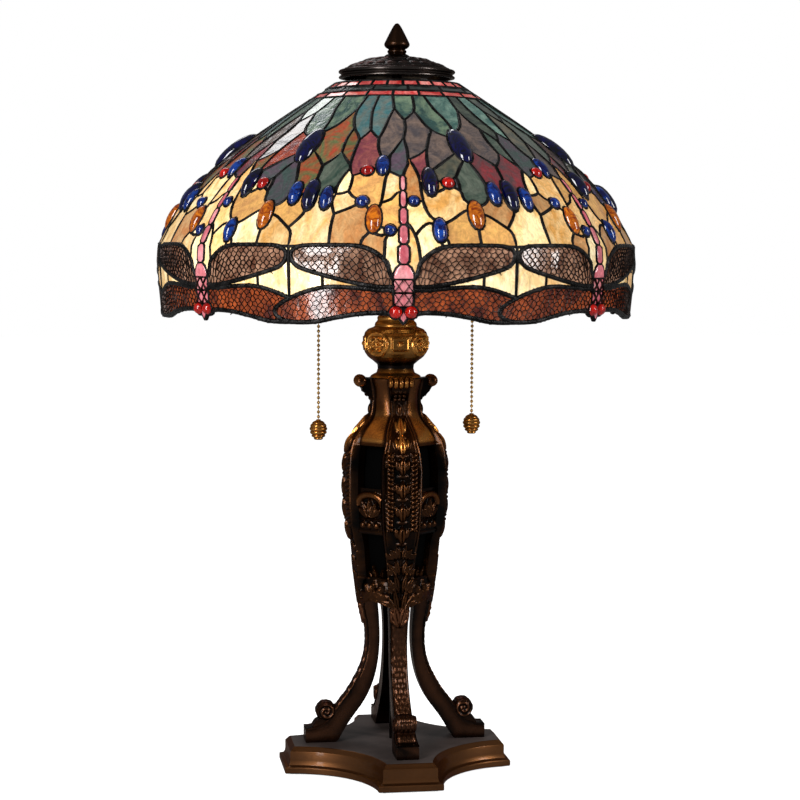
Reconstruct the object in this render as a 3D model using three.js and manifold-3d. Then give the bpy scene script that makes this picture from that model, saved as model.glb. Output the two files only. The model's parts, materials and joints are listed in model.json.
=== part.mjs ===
// Stained glass table lamp: a leaded dragonfly shade on a four-legged cast base with two pull-chain lamp holders.
// Millimetres, +Z up. The origin is the centre of the felt under the base plate, and the four legs lie on X and Y.
// Every stand part is threaded on one vertical tube, and the shade hangs from the top of that tube.
import * as THREE from "three";
import { mergeVertices } from "three/addons/utils/BufferGeometryUtils.js";
import Module from "manifold-3d";

const wasm = await Module();
wasm.setup();

// ---- driving dimensions ----
const GAP = 0.3; // clearance between stacked castings
const BORE_R = 6; // hole for the centre tube in every stacked part
const QUARTER = Math.PI / 2;

const FELT = 1.5; // felt thickness
const PLATE = { top: 26.5, lipTop: 8, cut: 107.5, arcCentre: 116.3, arcR: 90.2, lip: 5.5 };
const LEG = { foot: PLATE.top + GAP, top: 168, width: 17, footWidth: 22, toe: 90, toeTop: 41 };
const SCROLL = { at: 69, z: 56, r: 9.5, width: 15 }; // volute that sits on each foot
const URN = { bottom: LEG.top + GAP, top: 388, wall: 5, floor: 5, windowLow: 192, windowHigh: 322, windowWidth: 28 };
const EAR = { at: 37.5, z: 384.5, r: 5.8, width: 25 }; // curled leaf at the head of each rib
const BELT = { low: 237, high: 281, apothem: 42.5, wall: 4 }; // medallions seen through the urn's windows
const LINER = { r: 29.5, wall: 1.5, low: 173.6, high: 322 };
const NECK = { low: URN.top + GAP, high: 437 };
const RISER = { low: NECK.high + GAP, high: 466 };
const TUBE = { r: 5, bore: 3.5, low: 5, high: 712 };

const HUB = { low: 466.3, high: 490, r: 15, outlet: 478 };
const HOLDER = { x: 54, low: 488, shellLow: 500.3, high: 545, r: 18 };
const CHAIN = { x: 77, mouth: 503, pivot: 500, bead: 1.6, link: 0.7, pitch: 4.7, balls: { left: 32, right: 31 } };
const KNOB = { height: 20.5, r: 8.7 };
const BULB = { low: 518, collar: 542, top: 626, r: 30 };

const SHADE = { repeats: 7, turn: THREE.MathUtils.degToRad(-6.9), crease: 520, low: 445, thick: 5 };
const PANEL_GAP = THREE.MathUtils.degToRad(0.15);
const CAP = { seat: 681, rim: 690, r: 56, top: 705.6 };
const FINIAL_LOW = 706;

// ---- materials ----
const finish = (color, roughness, metalness) => new THREE.MeshStandardMaterial({ color, roughness, metalness });
const bronze = finish(0x4a2f1c, 0.45, 0.8);
const goldBronze = finish(0x9a6a2c, 0.35, 0.9);
const blackMetal = finish(0x17120f, 0.5, 0.6);
const brass = finish(0xb08d57, 0.35, 1);
const steel = finish(0x8c8c8c, 0.4, 1);
const felt = finish(0x1e2b22, 1, 0);
const rubber = finish(0x151515, 0.8, 0);
const porcelain = finish(0xe8e4da, 0.3, 0);
const bulbGlass = finish(0xfff3d6, 0.15, 0);
const artGlass = finish(0x6f7f6a, 0.2, 0);
const wingGlass = finish(0x9c4a22, 0.3, 0);

// ---- helpers ----
// The volume enclosed by an indexed mesh, positive when its faces point out.
function signedVolume(geometry) {
  const p = geometry.getAttribute("position");
  const index = geometry.index.array;
  const [a, b, c] = [new THREE.Vector3(), new THREE.Vector3(), new THREE.Vector3()];
  let sum = 0;
  for (let i = 0; i < index.length; i += 3) {
    a.fromBufferAttribute(p, index[i]);
    b.fromBufferAttribute(p, index[i + 1]);
    c.fromBufferAttribute(p, index[i + 2]);
    sum += a.dot(b.cross(c)) / 6;
  }
  return sum;
}

// A closed geometry as a manifold solid, turned right side out if its profile ran the other way.
function solid(geometry) {
  const bare = new THREE.BufferGeometry().setAttribute("position", geometry.getAttribute("position"));
  bare.setIndex(geometry.index);
  const merged = mergeVertices(bare, 1e-3);
  const triVerts = new Uint32Array(merged.index.array);
  if (signedVolume(merged) < 0) triVerts.reverse();
  const vertProperties = merged.getAttribute("position").array;
  return new wasm.Manifold(new wasm.Mesh({ numProp: 3, vertProperties, triVerts }));
}

// A manifold solid back as a three.js geometry.
function geometryOf(manifold) {
  const mesh = manifold.getMesh();
  const geometry = new THREE.BufferGeometry();
  geometry.setAttribute("position", new THREE.BufferAttribute(new Float32Array(mesh.vertProperties), 3));
  geometry.setIndex(new THREE.BufferAttribute(new Uint32Array(mesh.triVerts), 1));
  geometry.computeVertexNormals();
  return geometry;
}

// A profile of [radius, height] pairs turned about Z.
function turned(profile, segments, start = 0) {
  const points = profile.map(([r, z]) => new THREE.Vector2(r, z));
  return solid(new THREE.LatheGeometry(points, segments, start).rotateX(QUARTER));
}

// A turned ring: the same, with the profile closed on itself.
const ring = (profile, segments, start) => turned([...profile, profile[0]], segments, start);

// A shape drawn in XY and pulled up from z = low to z = high.
function prism(shape, low, high, curveSegments = 8) {
  const options = { depth: high - low, bevelEnabled: false, curveSegments };
  return solid(new THREE.ExtrudeGeometry(shape, options).translate(0, 0, low));
}

// A shape drawn with x outwards and y upwards, given a width across and set on the -Y side of the lamp.
function slab(shape, width, curveSegments = 6) {
  const options = { depth: width, bevelEnabled: false, curveSegments };
  const geometry = new THREE.ExtrudeGeometry(shape, options).translate(0, 0, -width / 2);
  return solid(geometry.rotateX(QUARTER).rotateZ(-QUARTER));
}

// A round bar across the -Y side of the lamp, at a distance out from the axis.
function crossBar(out, z, r, width, segments = 12) {
  const geometry = new THREE.CylinderGeometry(r, r, width, segments).rotateZ(QUARTER);
  return solid(geometry.translate(0, -out, z));
}

// A tube of radius r along a curve.
function bar(points, r, steps, sides = 8) {
  const path = new THREE.CatmullRomCurve3(points.map((p) => new THREE.Vector3(...p)));
  const section = new THREE.Shape().absarc(0, 0, r, 0, 2 * Math.PI);
  const options = { steps, extrudePath: path, curveSegments: sides / 2, bevelEnabled: false };
  return solid(new THREE.ExtrudeGeometry(section, options));
}

const lamp = new THREE.Group();

function place(name, body, material, { turn = 0, at = [0, 0, 0], parent = lamp } = {}) {
  const mesh = new THREE.Mesh(geometryOf(body), material);
  mesh.name = name;
  mesh.rotation.z = turn;
  mesh.position.set(...at);
  parent.add(mesh);
}

const SIDES = [
  ["front", 0],
  ["right", 1],
  ["back", 2],
  ["left", 3],
].map(([side, n]) => [side, n * QUARTER]);
const HANDS = [
  ["left", Math.PI],
  ["right", 0],
];

// ---- base plate and what is under it ----
// A square plate with cut corners on the axes and a round bite out of each side, grown outwards by a lip.
function plateShape(lip) {
  const cut = PLATE.cut + lip;
  const r = PLATE.arcR - lip;
  const c = PLATE.arcCentre;
  const lean = Math.asin((c - cut) / r); // how far short of a quarter each bite starts and ends
  const half = c - r * Math.cos(lean);
  const corner = (n, x, y) => new THREE.Vector2(x, y).rotateAround(new THREE.Vector2(), n * QUARTER);
  const shape = new THREE.Shape();
  for (let n = 0; n < 4; n++) {
    const start = corner(n, -half, -cut);
    const end = corner(n, half, -cut);
    const centre = corner(n, c, -c);
    if (n === 0) shape.moveTo(start.x, start.y);
    else shape.lineTo(start.x, start.y);
    shape.lineTo(end.x, end.y);
    shape.absarc(centre.x, centre.y, r, Math.PI - lean + n * QUARTER, QUARTER + lean + n * QUARTER, true);
  }
  return shape;
}

const wellR = 16; // recess under the plate for the clamping nut
const wellTop = 14;
const screwR = 2.5;
const screwAt = 72; // distance of each foot screw from the axis
const bore = (r, low, high) => turned([[0, low], [r, low], [r, high], [0, high]], 12);
const plateCurve = 6; // straight runs in each concave side
const plateLip = prism(plateShape(PLATE.lip), FELT, PLATE.lipTop, plateCurve);
let plate = plateLip.add(prism(plateShape(0), PLATE.lipTop, PLATE.top, plateCurve));
plate = plate.subtract(bore(BORE_R, 0, 30)).subtract(bore(wellR, 0, wellTop));
for (const [, turn] of SIDES) {
  const hole = bore(screwR + 0.4, 0, 30).add(bore(6, 0, 8)).translate([0, -screwAt, 0]);
  plate = plate.subtract(hole.rotate([0, 0, THREE.MathUtils.radToDeg(turn)]));
}
place("base_plate", plate, bronze);
place("base_felt", prism(plateShape(0), 0, FELT - 0.1, plateCurve), felt);

const washer = (inner, outer, low, high, n = 16) => ring([[inner, low], [outer, low], [outer, high], [inner, high]], n);
place("base_washer", washer(BORE_R, 13, wellTop - 2, wellTop - 0.2), steel);
const hexNut = (outer, low, high) => washer(TUBE.r + 0.3, outer, low, high, 18)
  .intersect(solid(new THREE.CylinderGeometry(outer, outer, 60, 6).rotateX(QUARTER).translate(0, 0, low)));
place("base_nut", hexNut(9.5, wellTop - 8, wellTop - 2.2), steel);

// ---- legs ----
// Side view of a leg: x is the distance from the lamp's axis and y the height.
function legShape() {
  const outer = [[29.5, 150], [28.2, 132], [30, 112], [34.5, 94], [42.5, 78], [52, 64], [60, 52]];
  const inner = [[40, 55], [30.5, 72], [22.5, 92], [18, 112], [16.3, 132], [17, 150], [19, LEG.top]];
  const vectors = (list) => list.map(([x, y]) => new THREE.Vector2(x, y));
  const shape = new THREE.Shape();
  shape.moveTo(34.7, LEG.top);
  shape.splineThru(vectors(outer));
  shape.lineTo(LEG.toe - 2, 38);
  shape.lineTo(LEG.toe - 2, LEG.foot);
  shape.lineTo(57, LEG.foot);
  shape.splineThru(vectors(inner));
  return shape;
}

// The wide toe block in front of the volute.
function toeShape() {
  const shape = new THREE.Shape();
  shape.moveTo(57, LEG.foot);
  shape.lineTo(LEG.toe, LEG.foot);
  shape.lineTo(LEG.toe, LEG.toeTop);
  shape.quadraticCurveTo(80, 44, 73, 49);
  shape.lineTo(54, 49);
  return shape;
}

const screwHole = bore(screwR, LEG.foot - 5, LEG.foot + 10).translate([0, -screwAt, 0]);
const leg = slab(legShape(), LEG.width, 3)
  .add(slab(toeShape(), LEG.footWidth))
  .add(crossBar(SCROLL.at, SCROLL.z, SCROLL.r, SCROLL.width, 16))
  .subtract(screwHole);
const screw = turned([[0, 3], [5, 3], [5, 7], [screwR - 0.3, 7.6], [screwR - 0.3, 35], [0, 35]], 10);
for (const [side, turn] of SIDES) {
  place(`leg_${side}`, leg, bronze, { turn });
  place(`foot_screw_${side}`, screw.translate([0, -screwAt, 0]), steel, { turn });
}

// ---- urn ----
// Half-width of the eight-sided urn at each height, from its floor to its rim.
const urnProfile = [
  [34, URN.bottom], [38, 192], [40.5, 212], [44, 233], [48.5, 250], [50.5, 272], [50.5, 300],
  [48.5, 318], [42, 333], [34, 342], [27.5, 351], [24, 362], [24, 373], [27, 384], [29, URN.top],
];
const octagon = 1 / Math.cos(Math.PI / 8); // from half-width to corner distance
const inset = urnProfile.slice(1).map(([w, z]) => [w - URN.wall, z]);
const urnOutline = [
  [BORE_R, URN.bottom],
  ...urnProfile,
  ...inset.reverse(),
  [30, URN.bottom + URN.floor],
  [BORE_R, URN.bottom + URN.floor],
].map(([w, z]) => [w * octagon, z]);

// A curled leaf at the head of a rib, with the web that carries it.
function ear() {
  const web = new THREE.Shape();
  web.moveTo(26, 372);
  web.lineTo(EAR.at, EAR.z - 4);
  web.lineTo(EAR.at, EAR.z + 3);
  web.lineTo(26, URN.top);
  return crossBar(EAR.at, EAR.z, EAR.r, EAR.width).add(slab(web, EAR.width - 6));
}

// A straight opening through two opposite faces of the urn.
function windowCut(angle) {
  const { windowWidth: w, windowLow: low, windowHigh: high } = URN;
  const box = solid(new THREE.BoxGeometry(140, w, high - low).translate(0, 0, (low + high) / 2));
  return box.rotate([0, 0, angle]);
}

const beltOutline = [
  [BELT.apothem - BELT.wall, BELT.low], [BELT.apothem - 2, BELT.low], [BELT.apothem, (BELT.low + BELT.high) / 2],
  [BELT.apothem - 1.5, BELT.high - 6], [BELT.apothem - BELT.wall, BELT.high],
].map(([w, z]) => [w * octagon, z]);
let urn = ring(urnOutline, 8, Math.PI / 8).subtract(windowCut(45)).subtract(windowCut(-45));
urn = urn.add(ring(beltOutline, 8, Math.PI / 8));
for (const [, turn] of SIDES) urn = urn.add(ear().rotate([0, 0, THREE.MathUtils.radToDeg(turn)]));
place("urn_cage", urn, bronze);
place("urn_liner", washer(LINER.r - LINER.wall, LINER.r, LINER.low, LINER.high, 20), blackMetal);

// ---- neck ----
const neckOutline = [
  [BORE_R, NECK.low], [27, NECK.low], [24, 390.5], [19.5, 393.5], [17.6, 397], [17.6, 401], [20, 405],
  [27.5, 409], [31.5, 413], [32.8, 418], [32.8, 426], [31.5, 431], [27, 435], [21, NECK.high], [BORE_R, NECK.high],
];
place("neck_knop", ring(neckOutline, 20), goldBronze);
const riserOutline = [
  [BORE_R, RISER.low], [19.5, RISER.low], [19, 440.5], [17.5, 442], [17.8, 446], [14.8, 448.5], [14.5, 452],
  [12, 455], [9.5, RISER.high], [BORE_R, RISER.high],
];
place("upper_neck", ring(riserOutline, 16), goldBronze);
place("centre_tube", washer(TUBE.bore, TUBE.r, TUBE.low, TUBE.high, 12), brass);

// ---- lamp holder cluster ----
const hub = ring([
  [BORE_R, HUB.low], [11, HUB.low], [HUB.r, HUB.low + 4], [HUB.r, HUB.high - 5], [9, HUB.high], [BORE_R, HUB.high],
], 16);
place("cluster_hub", hub, brass);
place("cluster_nut", hexNut(8.5, HUB.high + GAP, HUB.high + 6), steel);

const armPath = [
  [HUB.r + 0.8, 0, HUB.outlet], [20, 0, HUB.outlet], [33, 0, 470], [47, 0, 469], [HOLDER.x, 0, 478], [HOLDER.x, 0, 487.4],
];
const arm = bar(armPath, 4, 12);
const { x: holderX, r: holderR } = HOLDER;
const holderCap = turned([
  [0, HOLDER.low], [7, HOLDER.low], [9, 491], [16, 495], [holderR, HOLDER.shellLow - 0.3], [0, HOLDER.shellLow - 0.3],
], 18).translate([holderX, 0, 0]);
const shellWall = 1.2;
const holderShell = washer(holderR - shellWall, holderR, HOLDER.shellLow, HOLDER.high, 20).translate([holderX, 0, 0]);
const insulator = ring([
  [2, 514], [holderR - 2, 514], [holderR - 2, HOLDER.high - 1], [14.2, HOLDER.high - 1], [14.2, 517], [2, 517],
], 16).translate([holderX, 0, 0]);
const guideR = 4.6;
const guideTube = washer(2.3, guideR, CHAIN.mouth, CHAIN.mouth + 13, 12).translate([CHAIN.x, 0, 0]);
const stubFrom = holderX + holderR + GAP;
const stubTo = CHAIN.x - guideR + 0.4;
const stub = new THREE.BoxGeometry(stubTo - stubFrom, 5, 6).translate((stubFrom + stubTo) / 2, 0, CHAIN.mouth + 6);
const chainGuide = guideTube.add(solid(stub));

// Balls on a thin link, hanging down from z = high.
function ballChain(high, balls) {
  const profile = [[0, high], [CHAIN.link, high]];
  for (let n = 0; n < balls; n++) {
    const z = high - n * CHAIN.pitch;
    profile.push([CHAIN.bead, z - CHAIN.pitch / 2], [CHAIN.link, z - CHAIN.pitch]);
  }
  return turned([...profile, [0, high - balls * CHAIN.pitch]], 5).translate([CHAIN.x, 0, 0]);
}

// The pull on the end of a chain, hanging down from z = high.
function pullKnob(high) {
  const low = high - KNOB.height;
  return turned([
    [0, low], [5, low + 0.5], [KNOB.r, low + 7], [KNOB.r - 0.5, low + 12], [6, high - 2], [2.2, high], [0, high],
  ], 12).translate([CHAIN.x, 0, 0]);
}

const rotor = solid(new THREE.CylinderGeometry(6, 6, 6, 4).translate(holderX, 0, 507));
const bulbBase = turned([
  [0, BULB.low], [5, BULB.low + 0.5], [13, BULB.low + 5], [13, BULB.collar], [0, BULB.collar],
], 16).translate([holderX, 0, 0]);
const bulbOutline = [[0, BULB.collar + 0.2], [12.6, BULB.collar + 0.2], [14, 556], [20, 570], [27.5, 582]];
const bulbBowl = [[BULB.r, 596], [27.5, 609], [20, 620], [10, 625], [0, BULB.top]];
const bulb = turned([...bulbOutline, ...bulbBowl], 18).translate([holderX, 0, 0]);
for (const [hand, turn] of HANDS) {
  place(`holder_arm_${hand}`, arm, brass, { turn });
  place(`holder_cap_${hand}`, holderCap, brass, { turn });
  place(`holder_shell_${hand}`, holderShell, brass, { turn });
  place(`holder_insulator_${hand}`, insulator, porcelain, { turn });
  place(`chain_guide_${hand}`, chainGuide, brass, { turn });
  place(`switch_rotor_${hand}`, rotor, porcelain, { turn });
  const balls = CHAIN.balls[hand];
  const chainTop = CHAIN.pivot - GAP;
  place(`chain_top_${hand}`, ballChain(CHAIN.pivot + 2 * CHAIN.pitch, 2), brass, { turn });
  place(`pull_chain_${hand}`, ballChain(chainTop, balls), brass, { turn });
  place(`pull_knob_${hand}`, pullKnob(chainTop - balls * CHAIN.pitch - GAP), goldBronze, { turn });
  place(`bulb_base_${hand}`, bulbBase, steel, { turn });
  place(`bulb_glass_${hand}`, bulb, bulbGlass, { turn });
}

// ---- cord ----
// The cord leaves the back of the plate through a grommet and curls round to its plug, which lies behind the plate.
const cordZ = 13;
const cordR = 2.7;
const PLUG = { x: -17.6, y: 142 };
const cordPath = [
  [0, PLATE.cut + 7, cordZ], [0, 117.5, cordZ], [-3, 121, 11], [-12, 123.5, 6.5], [-22, 125.5, 3.6], [-31, 129.5, 3.2],
  [-33.5, 135.5, 3.2], [-29, 141, 3.2], [-23, 142, 3.2], [PLUG.x - 0.8, PLUG.y, 3.2],
];
place("cord_grommet", turned([[0, 0], [5, 0], [4, 6], [0, 6]], 12)
  .rotate([-90, 0, 0])
  .translate([0, PLATE.cut + GAP, cordZ]), rubber);
place("power_cord", bar(cordPath, cordR, 20, 6), rubber);
const plugShape = new THREE.Shape();
plugShape.moveTo(0, -6);
plugShape.lineTo(13.6, -11);
plugShape.lineTo(31.6, -9);
plugShape.lineTo(31.6, 9);
plugShape.lineTo(13.6, 11);
plugShape.lineTo(0, 6);
const pin = (y) => solid(new THREE.CylinderGeometry(2.2, 2.2, 15, 8).rotateZ(QUARTER).translate(37.6, y, 7));
place("cord_plug", prism(plugShape, 0.4, 14)
  .add(pin(-5))
  .add(pin(5))
  .translate([PLUG.x, PLUG.y, 0]), rubber);

// ---- shade ----
const shade = new THREE.Group();
shade.rotation.z = SHADE.turn;
lamp.add(shade);
const crownProfile = [
  [235, SHADE.crease], [226, 538], [215, 556], [200, 575], [183, 593], [160, 611], [135, 629.5], [104, 650], [57, 679.5],
];
const crownInner = crownProfile.map(([r, z]) => [r - SHADE.thick, z - 1.2]).reverse();
crownInner.at(-1)[1] = SHADE.crease;
const facets = SHADE.repeats * 6;
place("shade_crown", ring([...crownProfile, ...crownInner], facets), artGlass, { parent: shade });

// One seventh of the skirt: an arc of the vertical band whose lower edge dips to the wing tips at both ends.
function skirtPanel() {
  const z = SHADE.crease - 0.5;
  const r = 235.5;
  const band = ring([
    [r, z], [r + 0.5, 505], [r - 2, 480], [r - 4.5, SHADE.low],
    [r - 4.5 - SHADE.thick, SHADE.low], [r - 2 - SHADE.thick, 480], [r - SHADE.thick, z],
  ], facets, Math.PI / facets);
  const half = Math.PI / SHADE.repeats - PANEL_GAP;
  const reach = 300;
  const wedge = new THREE.Shape();
  wedge.moveTo(0, 0);
  wedge.lineTo(-reach * Math.sin(half), -reach * Math.cos(half));
  wedge.lineTo(reach * Math.sin(half), -reach * Math.cos(half));
  const lower = new THREE.Shape(); // what is cut away below the wings
  lower.moveTo(-130, 400);
  lower.lineTo(-130, 451);
  lower.lineTo(-88, 451);
  lower.quadraticCurveTo(-45, 464, -9, 463);
  lower.lineTo(-4, 452);
  lower.lineTo(4, 452);
  lower.lineTo(9, 463);
  lower.quadraticCurveTo(45, 464, 88, 451);
  lower.lineTo(130, 451);
  lower.lineTo(130, 400);
  const cutter = new THREE.ExtrudeGeometry(lower, { depth: reach, bevelEnabled: false, curveSegments: 6 });
  return band.intersect(prism(wedge, 400, 560)).subtract(solid(cutter.rotateX(QUARTER)));
}

const panel = skirtPanel();
for (let n = 0; n < SHADE.repeats; n++) {
  const turn = (n * 2 * Math.PI) / SHADE.repeats;
  place(`dragonfly_panel_${n + 1}`, panel, wingGlass, { turn, parent: shade });
}

const ringR = 50;
place("shade_top_ring", washer(ringR - 2, ringR, 676, CAP.seat - 0.4, facets), brass, { parent: shade });
const spokeEnd = ringR - 2.6;
let spider = washer(BORE_R, 11, 676, CAP.seat - 0.4, 14);
for (const angle of [0, 120, 240]) {
  const spoke = solid(new THREE.BoxGeometry(spokeEnd - 10, 6, 3).translate((spokeEnd + 10) / 2, 0, 678.5));
  spider = spider.add(spoke.rotate([0, 0, angle]));
}
place("shade_spider", spider, brass, { parent: shade });
place("spider_seat", washer(TUBE.r + 0.2, 9, 668, 675.7, 12), brass);

const capOutline = [
  [54.5, CAP.seat], [57, CAP.seat], [54.5, 684.5], [54.5, 687], [CAP.r, 688.5], [CAP.r, 690.5], [52.5, 693],
  [45.5, 697], [36, 700.6], [23, 703.8], [13, CAP.top], [BORE_R, CAP.top],
  [BORE_R, 703.6], [22, 702], [35, 698.8], [44, 695.4], [50, 691.8], [52, 688],
];
place("vent_cap", ring(capOutline, 28), blackMetal, { parent: shade });

const finial = ring([
  [TUBE.r + 0.2, FINIAL_LOW], [12, FINIAL_LOW], [9, 708.5], [9.6, 710.5], [9, 712.5], [11.5, 714.5], [12.6, 717],
  [11.8, 719.5], [8.3, 726], [4.6, 733], [3, 736.6], [0, 738], [0, 714], [TUBE.r + 0.2, 713],
], 14);
place("finial", finial, bronze);

export default lamp;
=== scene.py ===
"""Looks of the stained glass table lamp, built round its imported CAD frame.

Lengths are millimetres until a mesh is made, when they turn into metres. The leaded shade is drawn as a
flat cartoon of one dragonfly panel, in distance round the rim and distance up the slope, and the cartoon
repeats round the shade.
"""

import json
import math
import random

import bpy
import numpy as np
from mathutils import Matrix, Vector, geometry, noise

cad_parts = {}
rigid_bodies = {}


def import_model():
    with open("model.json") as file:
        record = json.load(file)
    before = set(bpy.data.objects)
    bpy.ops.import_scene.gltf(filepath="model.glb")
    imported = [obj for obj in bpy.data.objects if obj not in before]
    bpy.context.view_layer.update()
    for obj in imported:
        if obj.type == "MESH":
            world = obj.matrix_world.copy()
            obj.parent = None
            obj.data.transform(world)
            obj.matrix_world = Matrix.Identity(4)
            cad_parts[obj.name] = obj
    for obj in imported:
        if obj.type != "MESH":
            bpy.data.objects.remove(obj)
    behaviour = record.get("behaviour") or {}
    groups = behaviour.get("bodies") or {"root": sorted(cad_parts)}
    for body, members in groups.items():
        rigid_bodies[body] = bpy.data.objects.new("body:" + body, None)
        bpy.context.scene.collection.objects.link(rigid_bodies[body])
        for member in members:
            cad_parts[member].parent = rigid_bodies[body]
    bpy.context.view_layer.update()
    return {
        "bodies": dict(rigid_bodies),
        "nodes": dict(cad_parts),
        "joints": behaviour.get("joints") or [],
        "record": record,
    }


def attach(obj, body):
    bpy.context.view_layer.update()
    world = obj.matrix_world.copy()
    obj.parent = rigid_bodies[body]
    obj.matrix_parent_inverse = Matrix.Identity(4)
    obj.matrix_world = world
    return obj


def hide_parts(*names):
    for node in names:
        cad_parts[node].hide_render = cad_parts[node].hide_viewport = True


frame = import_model()
MM = 0.001
TAU = 2 * math.pi
QUARTER = math.pi / 2
FINISHED = 0.45  # how bright wear and painted light make the metal where nothing else is said


# ---- mesh building ----
class Build:
    """Vertices and faces gathered for one piece, with the colours its faces carry."""

    def __init__(self):
        self.verts = []
        self.faces = []
        self.marks = []
        self.wear_and_light = []

    def add(self, verts, faces, mark=None, wear_and_light=FINISHED):
        """Adds a shape. Its metal is made bright by the given share of wear and painted light, one number or
        one for each vertex.
        """
        base = len(self.verts)
        self.verts.extend(verts)
        self.faces.extend([[base + i for i in face] for face in faces])
        self.marks.extend([mark] * len(faces))
        self.wear_and_light.extend(np.broadcast_to(wear_and_light, len(verts)))

    def add_rows(self, rows, capped=False, wear_and_light=FINISHED):
        """Closed rows of equal length joined one to the next, with flat ends when capped."""
        count = len(rows[0])
        faces = loop_bridge(rows)
        if capped:
            last = (len(rows) - 1) * count
            faces += [list(range(count))[::-1], list(range(last, last + count))]
        self.add([point for row in rows for point in row], faces, None, wear_and_light)

    def add_turned(self, other, angle, mark=None):
        """A copy of another build, turned about the upright axis."""
        if other.verts:
            turn = np.array(Matrix.Rotation(angle, 3, "Z"))
            self.add(list(np.array(other.verts) @ turn.T), other.faces, mark, other.wear_and_light)


def set_corner_colours(mesh, name, per_face):
    """Stores one colour for each face, on all of its corners."""
    layer = mesh.attributes.new(name, "FLOAT_COLOR", "CORNER")
    values = []
    for polygon, colour in zip(mesh.polygons, per_face):
        values.extend((*colour, 1.0) * polygon.loop_total)
    layer.data.foreach_set("color", values)


def piece(name, build, body, material, crease=40, replaces=()):
    """One finished object from a Build, smooth except at edges sharper than the crease angle."""
    mesh = bpy.data.meshes.new(name)
    mesh.from_pydata([Vector(v) * MM for v in build.verts], [], build.faces)
    mesh.validate()
    if build.marks and build.marks[0] is not None:
        set_corner_colours(mesh, "tint", [mark[0] for mark in build.marks])
        set_corner_colours(mesh, "streak", [mark[1] for mark in build.marks])
        set_corner_colours(mesh, "extra", [mark[2] for mark in build.marks])
    else:
        mesh.attributes.new("wear_and_light", "FLOAT", "POINT").data.foreach_set("value", build.wear_and_light)
    mesh.shade_smooth()
    mesh.set_sharp_from_angle(angle=math.radians(crease))
    mesh.materials.append(material)
    made = bpy.data.objects.new(name, mesh)
    bpy.context.scene.collection.objects.link(made)
    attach(made, body)
    if replaces:
        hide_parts(*replaces)
    return made


def steps_round(count):
    """Equal steps of angle round a full turn."""
    return [TAU * i / count for i in range(count)]


def loop_bridge(rows, closed=True):
    """Quads between rows of equal length, wrapping round each row when closed."""
    count = len(rows[0])
    last = count if closed else count - 1
    faces = []
    for r in range(len(rows) - 1):
        for i in range(last):
            j = (i + 1) % count
            faces.append([r * count + i, r * count + j, (r + 1) * count + j, (r + 1) * count + i])
    return faces


# ---- shade surface ----
CROWN = [(235, 520), (231, 529), (226, 538.3), (215, 556.6), (200, 576), (183, 594.2), (160, 612.6),
         (135, 631.4), (104, 652.3), (56, 684)]
SKIRT = [(229.5, 443), (231, 449), (234, 480), (236, 505), (235, 520)]
REPEATS = 7
STEP = TAU / REPEATS
SHADE_TURN = math.radians(-6.9)
RIM_R = 235
WIDE = STEP * RIM_R
SURFACE_IN = 2.0  # the glass lies this far inside the profile, so that the leads reach it


def slope_table():
    """Distance up the slope from the crease, with the radius and height there."""
    points = SKIRT[:-1] + CROWN
    zero = len(SKIRT) - 1
    steps = [math.dist(a, b) for a, b in zip(points, points[1:])]
    along = np.concatenate([[0], np.cumsum(steps)])
    return along - along[zero], np.array([p[0] for p in points]), np.array([p[1] for p in points])


SLOPE_V, SLOPE_R, SLOPE_Z = slope_table()


def shade_point(x, v, out=0.0):
    """The point on the shade at x round the rim and v up the slope, raised outwards."""
    angle = x / RIM_R + SHADE_TURN
    r, z = np.interp(v, SLOPE_V, SLOPE_R), np.interp(v, SLOPE_V, SLOPE_Z)
    span = 6  # the slope's direction is read this far up and down from the point
    dr = np.interp(v + span, SLOPE_V, SLOPE_R) - np.interp(v - span, SLOPE_V, SLOPE_R)
    dz = np.interp(v + span, SLOPE_V, SLOPE_Z) - np.interp(v - span, SLOPE_V, SLOPE_Z)
    length = math.hypot(dr, dz) or 1
    nr, nz = dz / length, -dr / length
    lift = out - SURFACE_IN
    radius = r + nr * lift
    return Vector((radius * math.sin(angle), -radius * math.cos(angle), z + nz * lift))


def shade_normal(x, v):
    """The direction straight out of the shade at x and v."""
    return (shade_point(x, v, 1) - shade_point(x, v)).normalized()


# ---- cartoon of one dragonfly panel: x round the rim, v up the slope, both in millimetres ----
CROWN_TOP = 239
SKIRT_FOOT = -76  # lower than any glass of the skirt
ROWS = [CROWN_TOP, 229, 219.3, 209.5]  # edges of the three brick rows under the cap
ROW_PIECES = [4, 2, 3]
TEAL, MUTED, WARM, CREAM, AMBER = "teal", "muted", "warm", "cream", "amber"

# Which glass the irregular crown pieces are: degrees from the panel's centre, height up the slope, glass.
CROWN_GLASS = [
    (-17, 172, TEAL), (-9, 172, TEAL), (2, 190, TEAL), (13, 175, TEAL), (23, 185, TEAL), (-2.5, 145, MUTED),
    (5.8, 140, MUTED), (-23, 150, MUTED), (-22, 115, WARM), (-16.3, 122, WARM), (-10.6, 112, WARM),
    (-18.5, 85, WARM), (-25.5, 92, WARM), (11.5, 118, MUTED), (13, 88, MUTED), (18, 74, MUTED),
    (5.2, 96, WARM), (-0.8, 103, MUTED), (-14.8, 68, CREAM), (-9, 66, CREAM), (-3.3, 62, CREAM),
    (2.6, 72, CREAM), (-15, 46, CREAM), (3.8, 30, CREAM), (5.8, 8, CREAM), (10.5, 44, AMBER),
    (14, 16, AMBER), (20.8, 13, AMBER), (24, 33, AMBER), (-20.5, 18, CREAM), (-12, 22, AMBER),
    (-6, 5, AMBER), (-3.3, 33, AMBER), (28, 20, CREAM),
]

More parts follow.
